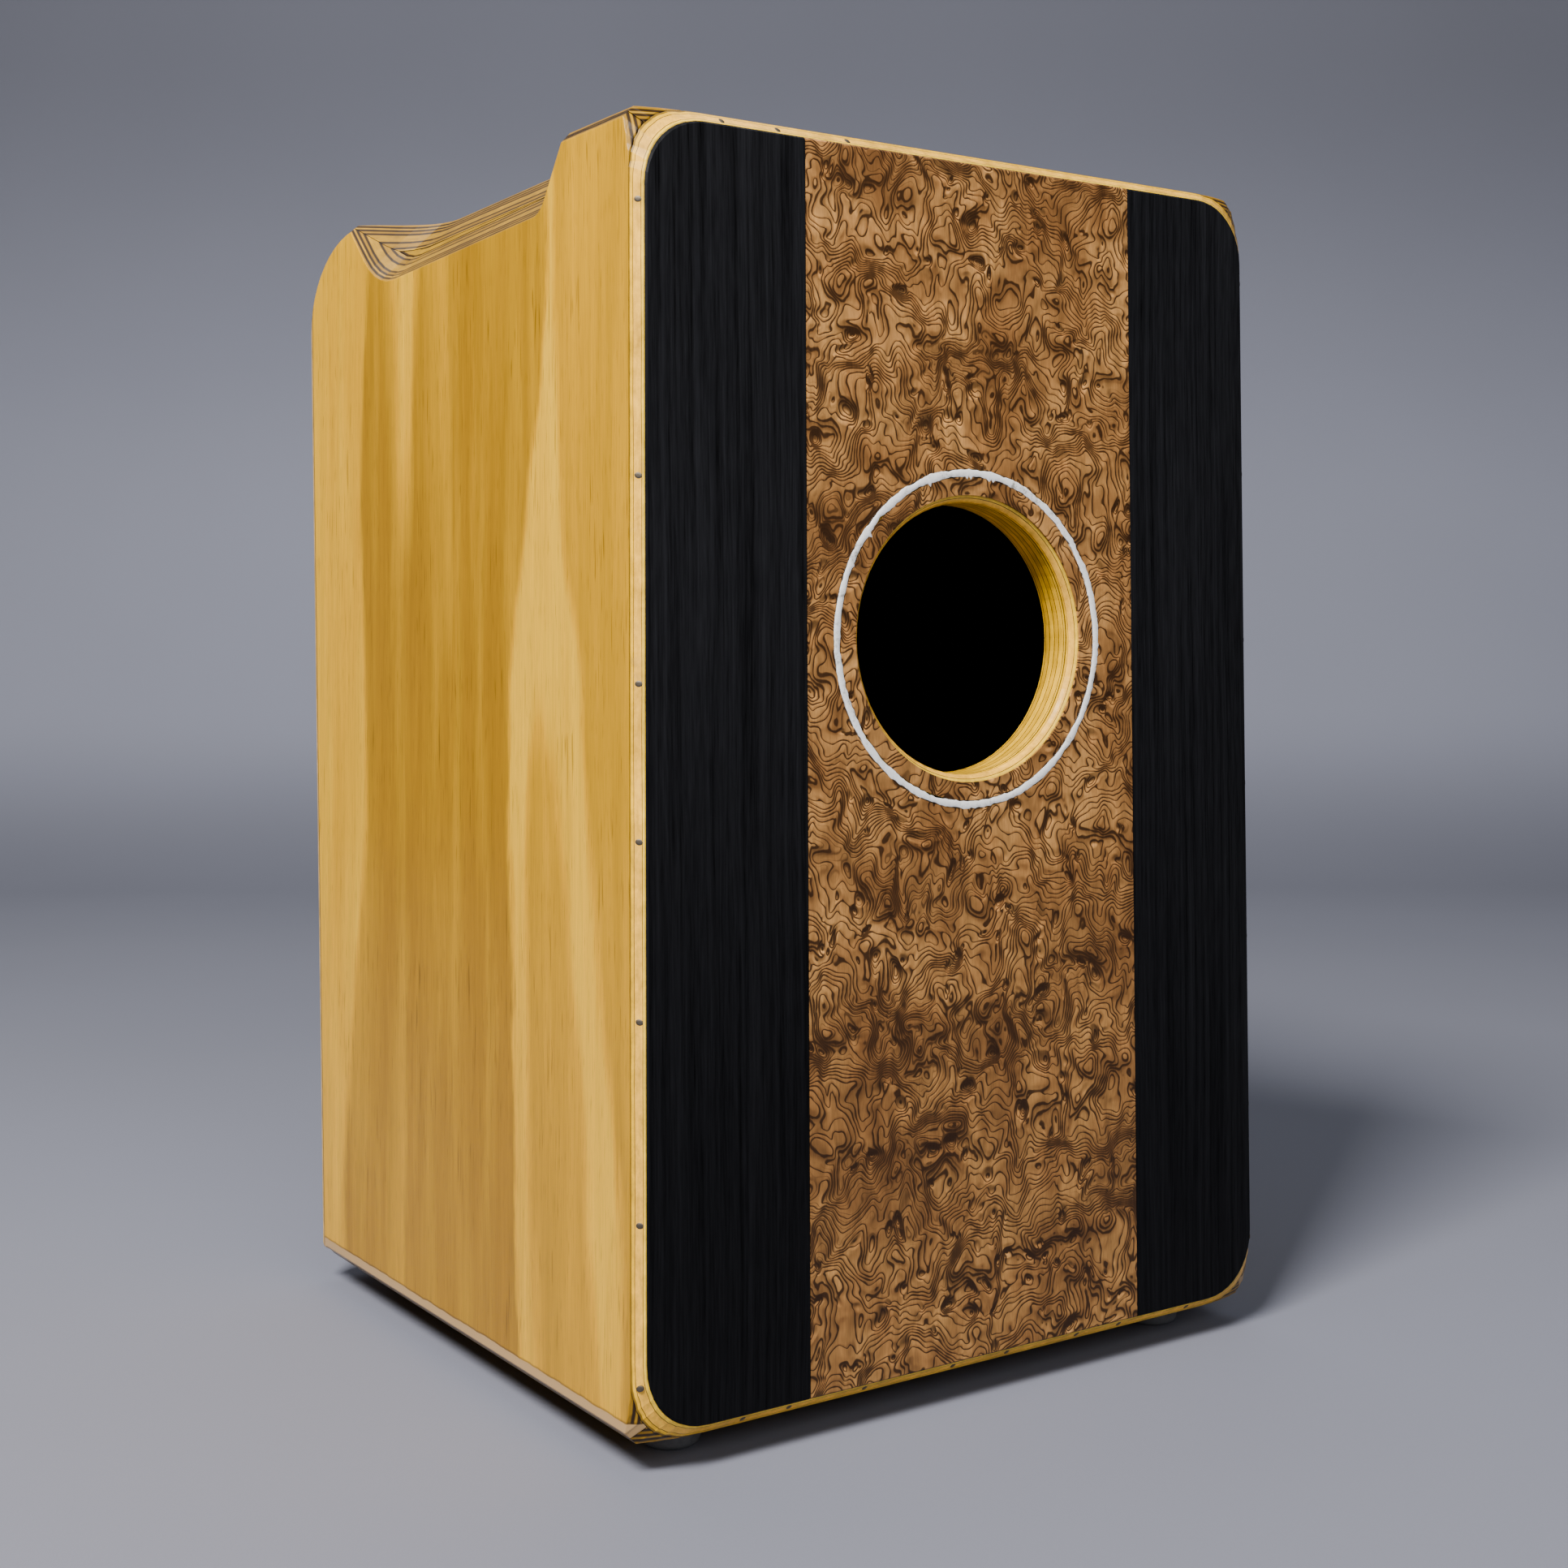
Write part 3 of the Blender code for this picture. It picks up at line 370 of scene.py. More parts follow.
def pineFace(graph, across, up, streaks, seed):
    # Colour and surface height of the pine face veneer; across runs over the grain, up runs along it.
    clouds = graph.noise(graph.vector(graph.times(across, 24), graph.times(up, 2.6), seed), detail=3)
    wisps = graph.noise(graph.vector(graph.times(across, 75), graph.times(up, 5.0), seed + 3), detail=4,
                        roughness=0.6)
    pale = graph.plus(graph.span(clouds, 0.40, 0.72, 0.0, 0.30), graph.span(wisps, 0.44, 0.76, 0.0, 0.30))
    if streaks:
        pale = graph.plus(pale, streakMask(graph, across, up, streaks))
    tone = graph.ramp(graph.times(pale, 0.8), [
        (0.0, pine["deep"]), (0.22, pine["middle"]), (0.62, pine["pale"]), (1.0, pine["cream"]),
    ])
    fibre = graph.noise(graph.vector(graph.times(across, 1300), graph.times(up, 30), seed + 7), detail=3,
                        roughness=0.65)
    lines = graph.noise(graph.vector(graph.times(across, 210), graph.times(up, 7.0), seed + 9), detail=3)
    pores = graph.noise(graph.vector(graph.times(across, 2100), graph.times(up, 75), seed + 11), detail=1)
    tone = graph.shade(tone, graph.span(fibre, 0.25, 0.75, 0.84, 1.12, "LINEAR"))
    tone = graph.shade(tone, graph.span(lines, 0.30, 0.70, 0.90, 1.08, "LINEAR"))
    flecks = graph.noise(graph.vector(graph.times(across, 820), graph.times(up, 42), seed + 13), detail=1)
    swarms = graph.noise(graph.vector(graph.times(across, 30), graph.times(up, 11), seed + 15), detail=2)
    fleckMask = graph.times(graph.span(flecks, 0.62, 0.72, 0.0, 0.55), graph.span(swarms, 0.42, 0.58))
    poreMask = graph.calc("MAXIMUM", graph.span(pores, 0.64, 0.74, 0.0, 0.48), fleckMask)
    tone = graph.mix(poreMask, tone, pine["fleck"])
    height = graph.plus(graph.times(fibre, 0.6), graph.times(lines, 0.4))
    return tone, graph.minus(height, graph.times(poreMask, 0.5))


plyLayers = {
    # (thickness in mm, colour) from the outer face inwards
    "carcass": [(1.5, (0.34, 0.175, 0.004)), (1.9, (0.42, 0.222, 0.009)), (2.1, (0.29, 0.145, 0.003)),
                (4.6, (0.38, 0.200, 0.006)), (3.2, (0.30, 0.152, 0.004)), (1.7, (0.38, 0.202, 0.008))],
    "block": [(15.3, (0.26, 0.132, 0.0020)), (4.8, (0.34, 0.182, 0.0040)), (4.8, (0.22, 0.108, 0.0015)),
              (4.8, (0.35, 0.190, 0.0050)), (4.8, (0.22, 0.108, 0.0015)), (9.0, (0.30, 0.158, 0.0030))],
    "rear": [(1.55, (0.98, 0.60, 0.040)), (2.1, (0.98, 0.52, 0.050)), (1.6, (0.92, 0.50, 0.012))],
    "collar": [(0.9, (0.92, 0.53, 0.030)), (3.0, (0.86, 0.48, 0.014)), (2.6, (0.72, 0.39, 0.004)),
               (2.8, (0.86, 0.48, 0.010)), (2.4, (0.66, 0.35, 0.003)), (2.0, (0.80, 0.44, 0.010))],
    "tapa": [(0.7, (0.42, 0.22, 0.060)), (1.6, (0.58, 0.38, 0.15)), (0.9, (0.50, 0.29, 0.09))],
}


def plyEdge(graph, depth, layers, along, seed, wander=0.35, line=0.17):
    # Cut edge of plywood: flat bands with thin dark glue lines that wander a little.
    total = sum(thick for thick, _ in layers)
    drift = graph.noise(graph.scaled(graph.place, along, (seed, 0, 0)), scale=26, detail=3, roughness=0.6)
    shifted = graph.plus(graph.times(depth, 1000), graph.span(drift, 0.2, 0.8, -wander, wander, "LINEAR"))
    stops = []
    at = 0.0
    for number, (thick, color) in enumerate(layers):
        stops.append(((at + (line if number else 0)) / total, color))
        at += thick
        if number < len(layers) - 1:
            stops.append(((at - line) / total, color))
            stops.append(((at - line * 0.5) / total, pine["glue"]))
            stops.append(((at + line * 0.5) / total, pine["glue"]))
    bands = graph.ramp(graph.times(shifted, 1 / total), stops)
    streaks = graph.noise(graph.scaled(graph.place, along, (0, seed, 0)), scale=420, detail=3, roughness=0.7)
    blots = graph.noise(graph.scaled(graph.place, (1, 1, 1), (seed, seed, 0)), scale=70, detail=3)
    bands = graph.shade(bands, graph.span(streaks, 0.25, 0.75, 0.68, 1.20, "LINEAR"))
    return graph.shade(bands, graph.span(blots, 0.3, 0.7, 0.80, 1.12, "LINEAR")), streaks


# Painted shade for the faces inside the box, where only shade falls: near black, and matt.
paintedInsideShade = {"color": (0.006, 0.005, 0.0045), "roughness": 0.85}

# The veneer is worn through below this height over the box's underside.
wornEdge = {"height": 7.6 * mm, "soft": 0.4 * mm, "shade": 0.9 * mm, "wander": 0.6 * mm}


def panelMaterial(name, depthOf, acrossOf, alongOf, streaks, seed, along):
    # Plywood panel: veneer on its outer face, bands where it is cut, painted shade on its faces inside the
    # box.
    graph = Graph(name)
    depth = depthOf(graph)
    face, faceHeight = pineFace(graph, acrossOf(graph), alongOf(graph), streaks, seed)
    edge, edgeHeight = plyEdge(graph, depth, plyLayers["carcass"], along, seed, wander=0.5, line=0.75)
    cut = graph.span(depth, 0.10 * mm, 0.45 * mm)
    color = graph.mix(cut, face, edge)
    rim = graph.span(depth, 0.02 * mm, 0.7 * mm)
    dark = graph.times(graph.times(rim, graph.minus(1, rim)), 1.3)
    color = graph.mix(dark, color, pine["rim"])
    if streaks:
        wander = graph.noise(graph.place, scale=90, detail=3)
        edgeZ = graph.plus(graph.z, graph.span(wander, 0, 1, -wornEdge["wander"], wornEdge["wander"]))
        start = baseZ + wornEdge["height"]
        end = start + wornEdge["soft"]
        color = graph.mix(graph.span(edgeZ, end, end + wornEdge["shade"], 0.6, 0), color, pine["glue"])
        color = graph.mix(graph.span(edgeZ, start, end, 1, 0), color, pine["worn"])
    # Painted shade: the panel's faces inside the box are near black.
    inside = graph.span(depth, panelThick - 0.25 * mm, panelThick - 0.12 * mm)
    color = graph.mix(inside, color, paintedInsideShade["color"])
    uneven = graph.noise(graph.place, scale=9, detail=2)
    gloss = graph.span(uneven, 0.3, 0.7, pine["roughness"] - 0.05, pine["roughness"] + 0.06, "LINEAR")
    rough = graph.plus(gloss, graph.times(inside, paintedInsideShade["roughness"] - pine["roughness"]))
    waves = graph.noise(graph.place, scale=13, detail=2)
    soft = graph.softEdges(0.6 * mm)
    broad = graph.bump(waves, 0.9 * mm, 0.35, soft)
    height = graph.plus(faceHeight, graph.times(graph.times(edgeHeight, cut), 1.4))
    return graph.finish(color, rough, graph.bump(height, 0.05 * mm, 0.6, broad), **lacquer)


def makePanelMaterials():
    # For each panel: depth under its face, coordinates over and along the grain, streaks and seed.
    def fromSide(graph):
        return graph.minus(halfWidth, graph.calc("ABSOLUTE", graph.x))

    upright = (lambda g: g.y, lambda g: g.z)
    lying = (lambda g: g.y, lambda g: g.x)
    return {
        "left_side_panel": panelMaterial(
            "pine left_side_panel", fromSide, *upright, leftStreaks, 1.0, (1, 0.35, 0.35)),
        "right_side_panel": panelMaterial(
            "pine right_side_panel", fromSide, *upright, rightStreaks, 21.0, (1, 0.35, 0.35)),
        "top_panel": panelMaterial(
            "pine seat", lambda g: g.minus(topZ, g.z), *lying, None, 5.0, (0.35, 0.35, 1)),
        "bottom_panel": panelMaterial(
            "pine floor", lambda g: g.minus(g.z, baseZ), *lying, None, 8.0, (0.35, 0.35, 1)),
    }


# The block's painted shade starts this far below the top panel, and this far in from the side's outer face.
seatBlock = {"paintBelow": 26.0 * mm, "paintInward": 42.5 * mm, "roughness": 0.45}


def blockMaterial():
    # Laminated block under the seat's edge; only its face in the thigh cut is lacquered wood, the rest is
    # painted shade.
    graph = Graph("seat block")
    depth = graph.minus(halfWidth, graph.calc("ABSOLUTE", graph.x))
    color, streaks = plyEdge(graph, depth, plyLayers["block"], (1, 0.3, 1), 3.0, wander=1.0, line=0.7)
    below = graph.minus(topZ - panelThick, graph.z)
    under = graph.span(below, seatBlock["paintBelow"], seatBlock["paintBelow"] + 0.2 * mm)
    inner = graph.span(depth, seatBlock["paintInward"], seatBlock["paintInward"] + 0.3 * mm)
    # Painted shade: the block's faces under the seat and inside the box are near black.
    hidden = graph.calc("MAXIMUM", under, inner)
    color = graph.mix(hidden, color, paintedInsideShade["color"])
    normal = graph.bump(streaks, 0.06 * mm, 0.6, graph.softEdges(0.5 * mm))
    dull = {"Coat Weight": 0.04, "Specular IOR Level": 0.10}
    return graph.finish(color, seatBlock["roughness"], normal, **dull)


def rearMaterial():
    # Three plies in the bevelled rim, with a dark glue line where the panel meets the carcass.
    graph = Graph("rear plywood")
    depth = graph.minus(graph.y, rearY)
    color, streaks = plyEdge(graph, depth, plyLayers["rear"], (0.5, 1, 0.5), 12.0, wander=0.18, line=0.09)
    fine = graph.noise(graph.scaled(graph.place, (1, 1, 0.12)), scale=900, detail=2)
    color = graph.shade(color, graph.span(fine, 0.3, 0.7, 0.90, 1.06, "LINEAR"))
    smudge = graph.noise(graph.place, scale=48, detail=4, roughness=0.65)
    color = graph.mix(graph.span(smudge, 0.60, 0.75, 0, 0.45), color, (0.42, 0.25, 0.09))
    color = graph.mix(graph.span(depth, 4.35 * mm, 4.60 * mm, 0, 0.75), color, pine["glue"])
    # Painted shade: the panel's back face, inside the box, is near black.
    back = graph.span(depth, 4.86 * mm, 4.95 * mm)
    color = graph.mix(back, color, paintedInsideShade["color"])
    normal = graph.bump(streaks, 0.05 * mm, 0.5, graph.softEdges(0.4 * mm))
    return graph.finish(color, 0.33, normal, **lacquer)


def collarMaterial():
    # Lacquered plies in the wall of the hole; the rest of the collar gets painted shade, as dark as the
    # inside of the box.
    graph = Graph("sound hole collar")
    depth = graph.minus(graph.y, collarY)
    color, streaks = plyEdge(graph, depth, plyLayers["collar"], (0.3, 1, 0.3), 31.0, wander=0.35, line=0.22)
    wallX, wallZ = graph.minus(graph.x, holeX), graph.minus(graph.z, holeZ)
    radius = graph.calc("SQRT", graph.plus(graph.times(wallX, wallX), graph.times(wallZ, wallZ)))
    inside = graph.span(radius, holeRadius + 0.7 * mm, holeRadius + 1.0 * mm)
    color = graph.mix(inside, color, paintedInsideShade["color"])
    return graph.finish(color, 0.32, graph.bump(streaks, 0.06 * mm, 0.6), **lacquer)


tapaWood = {
    "dark": (0.245, 0.110, 0.028),
    "middle": (0.345, 0.175, 0.050),
    "light": (0.440, 0.245, 0.085),
    "faceAt": 0.44,  # height where the outer face has the depth of tapaY
    "roughness": 0.33,
}


def tapaMaterial():
    # Straight-grained face veneer on the playing panel, with its own plies at the edge.
    graph = Graph("tapa veneer")
    lean = graph.times(graph.minus(graph.z, tapaWood["faceAt"]), frontLean)
    depth = graph.minus(graph.plus(tapaY, lean), graph.y)
    clouds = graph.noise(graph.scaled(graph.place, (26, 1, 2.2)), detail=3)
    figure = graph.noise(graph.scaled(graph.place, (120, 1, 2.6), (3, 0, 0)), detail=4, roughness=0.6)
    fibre = graph.noise(graph.scaled(graph.place, (1500, 20, 15)), detail=3, roughness=0.65)
    color = graph.ramp(graph.plus(graph.times(clouds, 0.45), graph.times(figure, 0.55)), [
        (0.30, tapaWood["dark"]), (0.50, tapaWood["middle"]), (0.70, tapaWood["light"]),
    ])
    color = graph.shade(color, graph.span(fibre, 0.25, 0.75, 0.88, 1.08, "LINEAR"))
    edge, _ = plyEdge(graph, depth, plyLayers["tapa"], (0.4, 1, 0.4), 17.0, wander=0.1, line=0.07)
    color = graph.mix(graph.span(depth, 0.9 * mm, 1.1 * mm), color, edge)
    # Painted shade: the tapa's inner face, inside the box, is near black.
    color = graph.mix(graph.span(depth, 2.7 * mm, 2.8 * mm), color, paintedInsideShade["color"])
    normal = graph.bump(fibre, 0.05 * mm, 0.6, graph.softEdges(0.5 * mm))
    return graph.finish(color, tapaWood["roughness"], normal, **lacquer)


def battenMaterial():
    graph = Graph("spruce batten")
    grain = graph.noise(graph.scaled(graph.place, (3, 240, 240)), detail=4, roughness=0.6)
    color = graph.ramp(grain, [
        (0.3, (0.34, 0.22, 0.10)), (0.6, (0.50, 0.35, 0.18)), (0.8, (0.58, 0.43, 0.24)),
    ])
    # Painted shade: the batten's wood is darkened like the rest of the inside of the box.
    color = graph.shade(color, 0.35)  # dark, like the rest of the inside
    return graph.finish(color, 0.65, graph.bump(grain, 0.1 * mm, 0.5))


burl = {
    "pale": (0.455, 0.226, 0.068),
    "tan": (0.305, 0.141, 0.042),
    "brown": (0.130, 0.052, 0.0150),
    "line": (0.028, 0.0108, 0.0032),
    "knot": (0.034, 0.0185, 0.0070),
    "rings": 31,
    "lineWidth": 0.64 * mm,
    "fold": 17 * mm,
    "eyes": ((11.8 * mm, 0.90, 3.1, 0.135), (7.4 * mm, 0.66, 7.7, 0.075)),  # spacing, share, offset, rise
    # how dark the painted shade at the bottom of the face gets
    "foot": 0.80,
    "roughness": 0.46,
}


def burlMaterial():
    # Contour lines of a folded height field; eyes rise out of it in swarms, with painted shade above them
    # and painted light below.
    graph = Graph("burl veneer")
    step = 0.35 * mm
    flat = graph.vector(graph.x, 0.0, graph.times(graph.z, 0.80))
    swarm = graph.span(graph.noise(graph.scaled(flat, (1, 1, 1.25)), scale=19, detail=1.5), 0.40, 0.52)

    def warped(dx, dz):
        place = graph.scaled(flat, (1, 1, 1), (dx, 0, dz))
        moved = graph.scaled(place, (1, 1, 1), (5.2, 0, 1.3))
        swayX = graph.minus(graph.noise(place, scale=50, detail=1.5), 0.5)
        swayZ = graph.minus(graph.noise(moved, scale=50, detail=1.5), 0.5)
        split = graph.add("ShaderNodeSeparateXYZ", {0: place}).outputs
        x = graph.plus(split[0], graph.times(swayX, burl["fold"]))
        return graph.vector(x, 0.0, graph.plus(split[2], graph.times(swayZ, burl["fold"])))

    def eyes(place, size, share, offset):
        # One round hump in some of the cells of a loose grid.
        node = graph.add("ShaderNodeTexVoronoi", {
            "Vector": graph.scaled(place, (1, 1, 1), (offset, 0, 0)), "Scale": 1 / size, "Randomness": 0.85})
        pick = graph.add("ShaderNodeSeparateColor", {0: node.outputs["Color"]}).outputs
        hump = graph.span(node.outputs["Distance"], 0.36, 0.0)
        return graph.times(hump, graph.span(pick[0], 1 - share, 1.12 - share))

    def field(dx, dz):
        place = warped(dx, dz)
        broad = graph.noise(place, scale=33, detail=2.0, roughness=0.5)
        close = graph.noise(place, scale=95, detail=1.2, roughness=0.5)
        humps = 0.0
        for size, share, offset, rise in burl["eyes"]:
            humps = graph.plus(humps, graph.times(eyes(place, size, share, offset), rise))
        humps = graph.times(humps, graph.span(swarm, 0, 1, 0.50, 1.0, "LINEAR"))
        ground = graph.plus(broad, graph.times(close, 0.20))
        return graph.plus(graph.plus(ground, humps), graph.times(graph.z, 7.0)), humps

    shifted = warped(0, 0)
    height, humps = field(0, 0)
    right, _ = field(step, 0)
    above, raised = field(0, step)
    slopeX, slopeZ = graph.minus(right, height), graph.minus(above, height)
    slope = graph.calc("SQRT", graph.plus(graph.times(slopeX, slopeX), graph.times(slopeZ, slopeZ)))
    # Distance to the contour lines on both sides, in metres, so that every line has one width.
    rings = graph.calc("FRACT", graph.times(height, burl["rings"]))
    perMetre = graph.calc("MAXIMUM", graph.times(slope, burl["rings"] / step), 160.0)
    after = graph.calc("DIVIDE", rings, perMetre)
    before = graph.calc("DIVIDE", graph.minus(1, rings), perMetre)
    wear = graph.noise(flat, scale=210, detail=2)
    width = graph.times(graph.span(wear, 0.3, 0.7, 0.35, 1.35, "LINEAR"), burl["lineWidth"])
    line = graph.calc("MAXIMUM", graph.span(graph.calc("DIVIDE", after, width), 0.55, 1.0, 1, 0),
                      graph.span(graph.calc("DIVIDE", before, width), 0.10, 0.5, 1, 0))
    # Bundles of closer lines run through the calmer, darker places.
    calm = graph.noise(graph.scaled(shifted, (0.55, 1, 1), (6, 0, 2)), scale=24, detail=1.5)
    bundle = graph.span(calm, 0.50, 0.60)
    half = graph.calc("FRACT", graph.times(height, burl["rings"] * 2))
    nearest = graph.calc("MINIMUM", half, graph.minus(1, half))
    fine = graph.span(graph.calc("DIVIDE", nearest, graph.times(perMetre, 2)), 0.12 * mm, 0.30 * mm, 1, 0)
    line = graph.calc("MAXIMUM", line, graph.times(graph.times(fine, bundle), 0.8))
    shadow = graph.span(after, 0.0, 1.7 * mm, 1, 0)
    cloud = graph.noise(flat, scale=48, detail=3, roughness=0.6)
    red = graph.noise(graph.scaled(flat, (1, 1, 1), (2, 0, 8)), scale=17, detail=2)
    color = graph.mix(graph.span(cloud, 0.38, 0.64), burl["tan"], burl["pale"])
    color = graph.mix(graph.span(red, 0.45, 0.70, 0.0, 0.55), color, burl["brown"])
    color = graph.mix(graph.times(bundle, 0.50), color, burl["brown"])
    color = graph.mix(graph.times(shadow, 0.70), color, burl["brown"])
    flame = graph.noise(graph.scaled(shifted, (1, 1, 0.45)), scale=190, detail=2.5, roughness=0.6)
    color = graph.shade(color, graph.span(flame, 0.30, 0.70, 0.66, 1.36, "LINEAR"))
    # Emboss of painted light and shade: slopes that face down are paler, as if lit, and slopes that face up
    # are darker, as if in shade.
    relief = graph.minus(raised, humps)
    color = graph.shade(color, graph.span(slopeZ, -0.014, 0.014, 0.66, 1.34, "LINEAR"))
    color = graph.shade(color, graph.span(relief, -0.0066, 0.0066, 0.50, 1.85, "LINEAR"))
    color = graph.mix(graph.times(line, 0.88), color, burl["line"])
    peaks = graph.span(raised, 0.078, 0.130)
    broken = graph.span(graph.noise(flat, scale=380, detail=3, roughness=0.75), 0.40, 0.62)
    color = graph.mix(graph.times(graph.times(peaks, broken), 0.72), color, burl["knot"])
    fibre = graph.noise(graph.scaled(graph.place, (1500, 1, 190)), detail=2)
    color = graph.shade(color, graph.span(fibre, 0.3, 0.7, 0.84, 1.10, "LINEAR"))
    # Painted shade: the veneer darkens towards the bottom of the face, as if less light reached it there.
    color = graph.shade(color, graph.span(graph.z, 0.05, 0.26, burl["foot"], 1.0))
    rough = graph.span(cloud, 0.3, 0.7, burl["roughness"] - 0.04, burl["roughness"] + 0.08, "LINEAR")
    normal = graph.bump(graph.minus(fibre, line), 0.03 * mm, 0.35)
    return graph.finish(color, rough, normal, **{"Specular IOR Level": 0.20, "Coat Weight": 0.08})


black = {"low": (0.0010, 0.0010, 0.0012), "high": (0.0150, 0.0154, 0.0180), "roughness": 0.50}


def blackMaterial():
    # Dyed veneer: open vertical grain that shows only where light grazes it.
    graph = Graph("black veneer")
    bend = graph.noise(graph.scaled(graph.place, (6, 1, 3)), detail=2)
    across = graph.plus(graph.x, graph.times(bend, 0.012))
    stripes = graph.noise(graph.vector(graph.times(across, 380), 0.0, graph.times(graph.z, 5)), detail=4,
                          roughness=0.62)
    pores = graph.noise(graph.vector(graph.times(across, 1500), 0.0, graph.times(graph.z, 60)), detail=2)
    grain = graph.plus(graph.times(stripes, 0.65), graph.times(pores, 0.35))
    color = graph.ramp(grain, [(0.34, black["low"]), (0.66, black["high"])])
    # Painted shade: the veneer darkens towards the bottom, as if less light reached it there.
    color = graph.shade(color, graph.span(graph.z, 0.04, 0.36, 0.5, 1.0))
    rough = graph.span(grain, 0.3, 0.7, black["roughness"] + 0.10, black["roughness"] - 0.06, "LINEAR")
    return graph.finish(color, rough, graph.bump(grain, 0.10 * mm, 0.55), **{"Specular IOR Level": 0.07})


def pearlMaterial():
    graph = Graph("pearl inlay")
    flakes = graph.noise(graph.place, scale=340, detail=3, roughness=0.7)
    drift = graph.noise(graph.place, scale=95, detail=2)
    color = graph.ramp(graph.plus(graph.times(flakes, 0.6), graph.times(drift, 0.4)), [
        (0.32, (0.38, 0.37, 0.33)), (0.43, (0.92, 0.92, 0.89)), (0.50, (1.0, 1.0, 0.99)),
    ])
    rough = graph.span(flakes, 0.3, 0.7, 0.16, 0.40, "LINEAR")
    return graph.finish(color, rough, graph.bump(flakes, 0.12 * mm, 0.7), **{"Coat Weight": 0.5})


# Metals, rubber and wire
def metalMaterial(name, color, roughness, scratch=(40, 40, 900)):
    graph = Graph(name)
    brushed = graph.noise(graph.scaled(graph.place, scratch), detail=3, roughness=0.6)
    stain = graph.noise(graph.place, scale=240, detail=3)
    tone = graph.shade(color, graph.span(stain, 0.3, 0.7, 0.78, 1.06, "LINEAR"))
    rough = graph.span(brushed, 0.3, 0.7, roughness - 0.06, roughness + 0.10, "LINEAR")
    graph.shader.inputs["Metallic"].default_value = 1.0
    return graph.finish(tone, rough, graph.bump(brushed, 0.02 * mm, 0.5))


def rubberMaterial():
    graph = Graph("grey rubber")
    dust = graph.noise(graph.place, scale=300, detail=4, roughness=0.7)
    color = graph.ramp(dust, [(0.3, (0.105, 0.107, 0.112)), (0.7, (0.175, 0.178, 0.185))])
    rough = graph.span(dust, 0.3, 0.7, 0.60, 0.78, "LINEAR")
    return graph.finish(color, rough, graph.bump(dust, 0.05 * mm, 0.5))


def floorMaterial():
    graph = Graph("studio floor")
    weave = graph.noise(graph.place, scale=900, detail=2)
    cloudy = graph.noise(graph.place, scale=2.5, detail=2)
    mottle = graph.plus(graph.times(weave, 0.3), graph.times(cloudy, 0.7))
    color = graph.shade(shot["floorColor"], graph.span(mottle, 0.3, 0.7, 0.97, 1.03, "LINEAR"))
    # Painted light and shade: the wall grows paler than the floor over its first 0.20 m, and darkens again
    # from 0.45 m up.
    color = graph.shade(color, graph.span(graph.z, 0.0, 0.20, 0.86, 1.42))
    color = graph.shade(color, graph.span(graph.z, 0.45, 1.20, 1.0, 0.53))
    return graph.finish(color, 0.85, graph.bump(weave, 0.2 * mm, 0.3))


def paint(name, material):
    materials = nodes[name].data.materials
    materials.clear()
    materials.append(material)


def paintNodes():
    print("scene: finishes")
    for name, material in makePanelMaterials().items():
        paint(name, material)
    block = blockMaterial()
    batten = battenMaterial()
    burlFinish, blackFinish = burlMaterial(), blackMaterial()
    for name, material in (
        ("left_seat_block", block), ("right_seat_block", block),
        ("front_batten_top", batten), ("front_batten_bottom", batten), ("string_anchor_bar", batten),
        ("rear_panel", rearMaterial()), ("soundhole_collar", collarMaterial()), ("tapa", tapaMaterial()),
        ("rear_veneer_center", burlFinish), ("rear_veneer_rim", burlFinish),
        ("rear_veneer_left", blackFinish), ("rear_veneer_right", blackFinish),
    ):
        paint(name, material)


def addPiece(name, bm, material, body=boxBody, replaced=(), smoothAngle=40):
    bmesh.ops.recalc_face_normals(bm, faces=bm.faces)
    mesh = bpy.data.meshes.new(name)
    bm.to_mesh(mesh)
    bm.free()
    mesh.materials.append(material)
    mesh.shade_smooth()
    mesh.set_sharp_from_angle(angle=math.radians(smoothAngle))
    piece = bpy.data.objects.new(name, mesh)
    bpy.context.scene.collection.objects.link(piece)
    if body:
        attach(piece, body)
    if replaced:
        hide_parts(*replaced)
    return piece


def skin(bm, rings, closedAround=True, capEnds=True):
    # Faces between rings of vertices, with a cap on each end.
    count = len(rings[0])
    for low, high in zip(rings, rings[1:]):
        for i in range(count if closedAround else count - 1):
            j = (i + 1) % count
            bm.faces.new((low[i], low[j], high[j], high[i]))
    if capEnds:
        bm.faces.new(rings[0][::-1])
        bm.faces.new(rings[-1])


def pieceName(node):
    first, *others = node.split("_")
    return first + "".join(word.capitalize() for word in others)


def ringOf(bm, radiusAt, z, spokes, centre=Vector((0, 0, 0))):
    # One ring of vertices round Z; radiusAt is a radius, or a function that gives one for an angle.
    ring = []
    for i in range(spokes):
        angle = math.tau * i / spokes
        radius = radiusAt(angle) if callable(radiusAt) else radiusAt
        x, y = radius * math.cos(angle), radius * math.sin(angle)
        ring.append(bm.verts.new((centre.x + x, centre.y + y, z)))
    return ring


def threadCrest(angle, z, pitch):
    # 1 on the crest of a thread and 0 in its root.
    turn = (z / pitch - angle / math.tau) % 1.0
    return 1 - abs(turn * 2 - 1)


# The silvery ring let in round the sound hole
ringShape = {
    "width": 2.7 * mm,
    "segments": 420,
    "proud": 0.12 * mm,
    "dish": 0.06 * mm,
    "ragged": 1.05 * mm,
    "spikes": 22,
    "spikeReach": 1.9 * mm,
    "spikeWidth": 0.35 * mm,
}


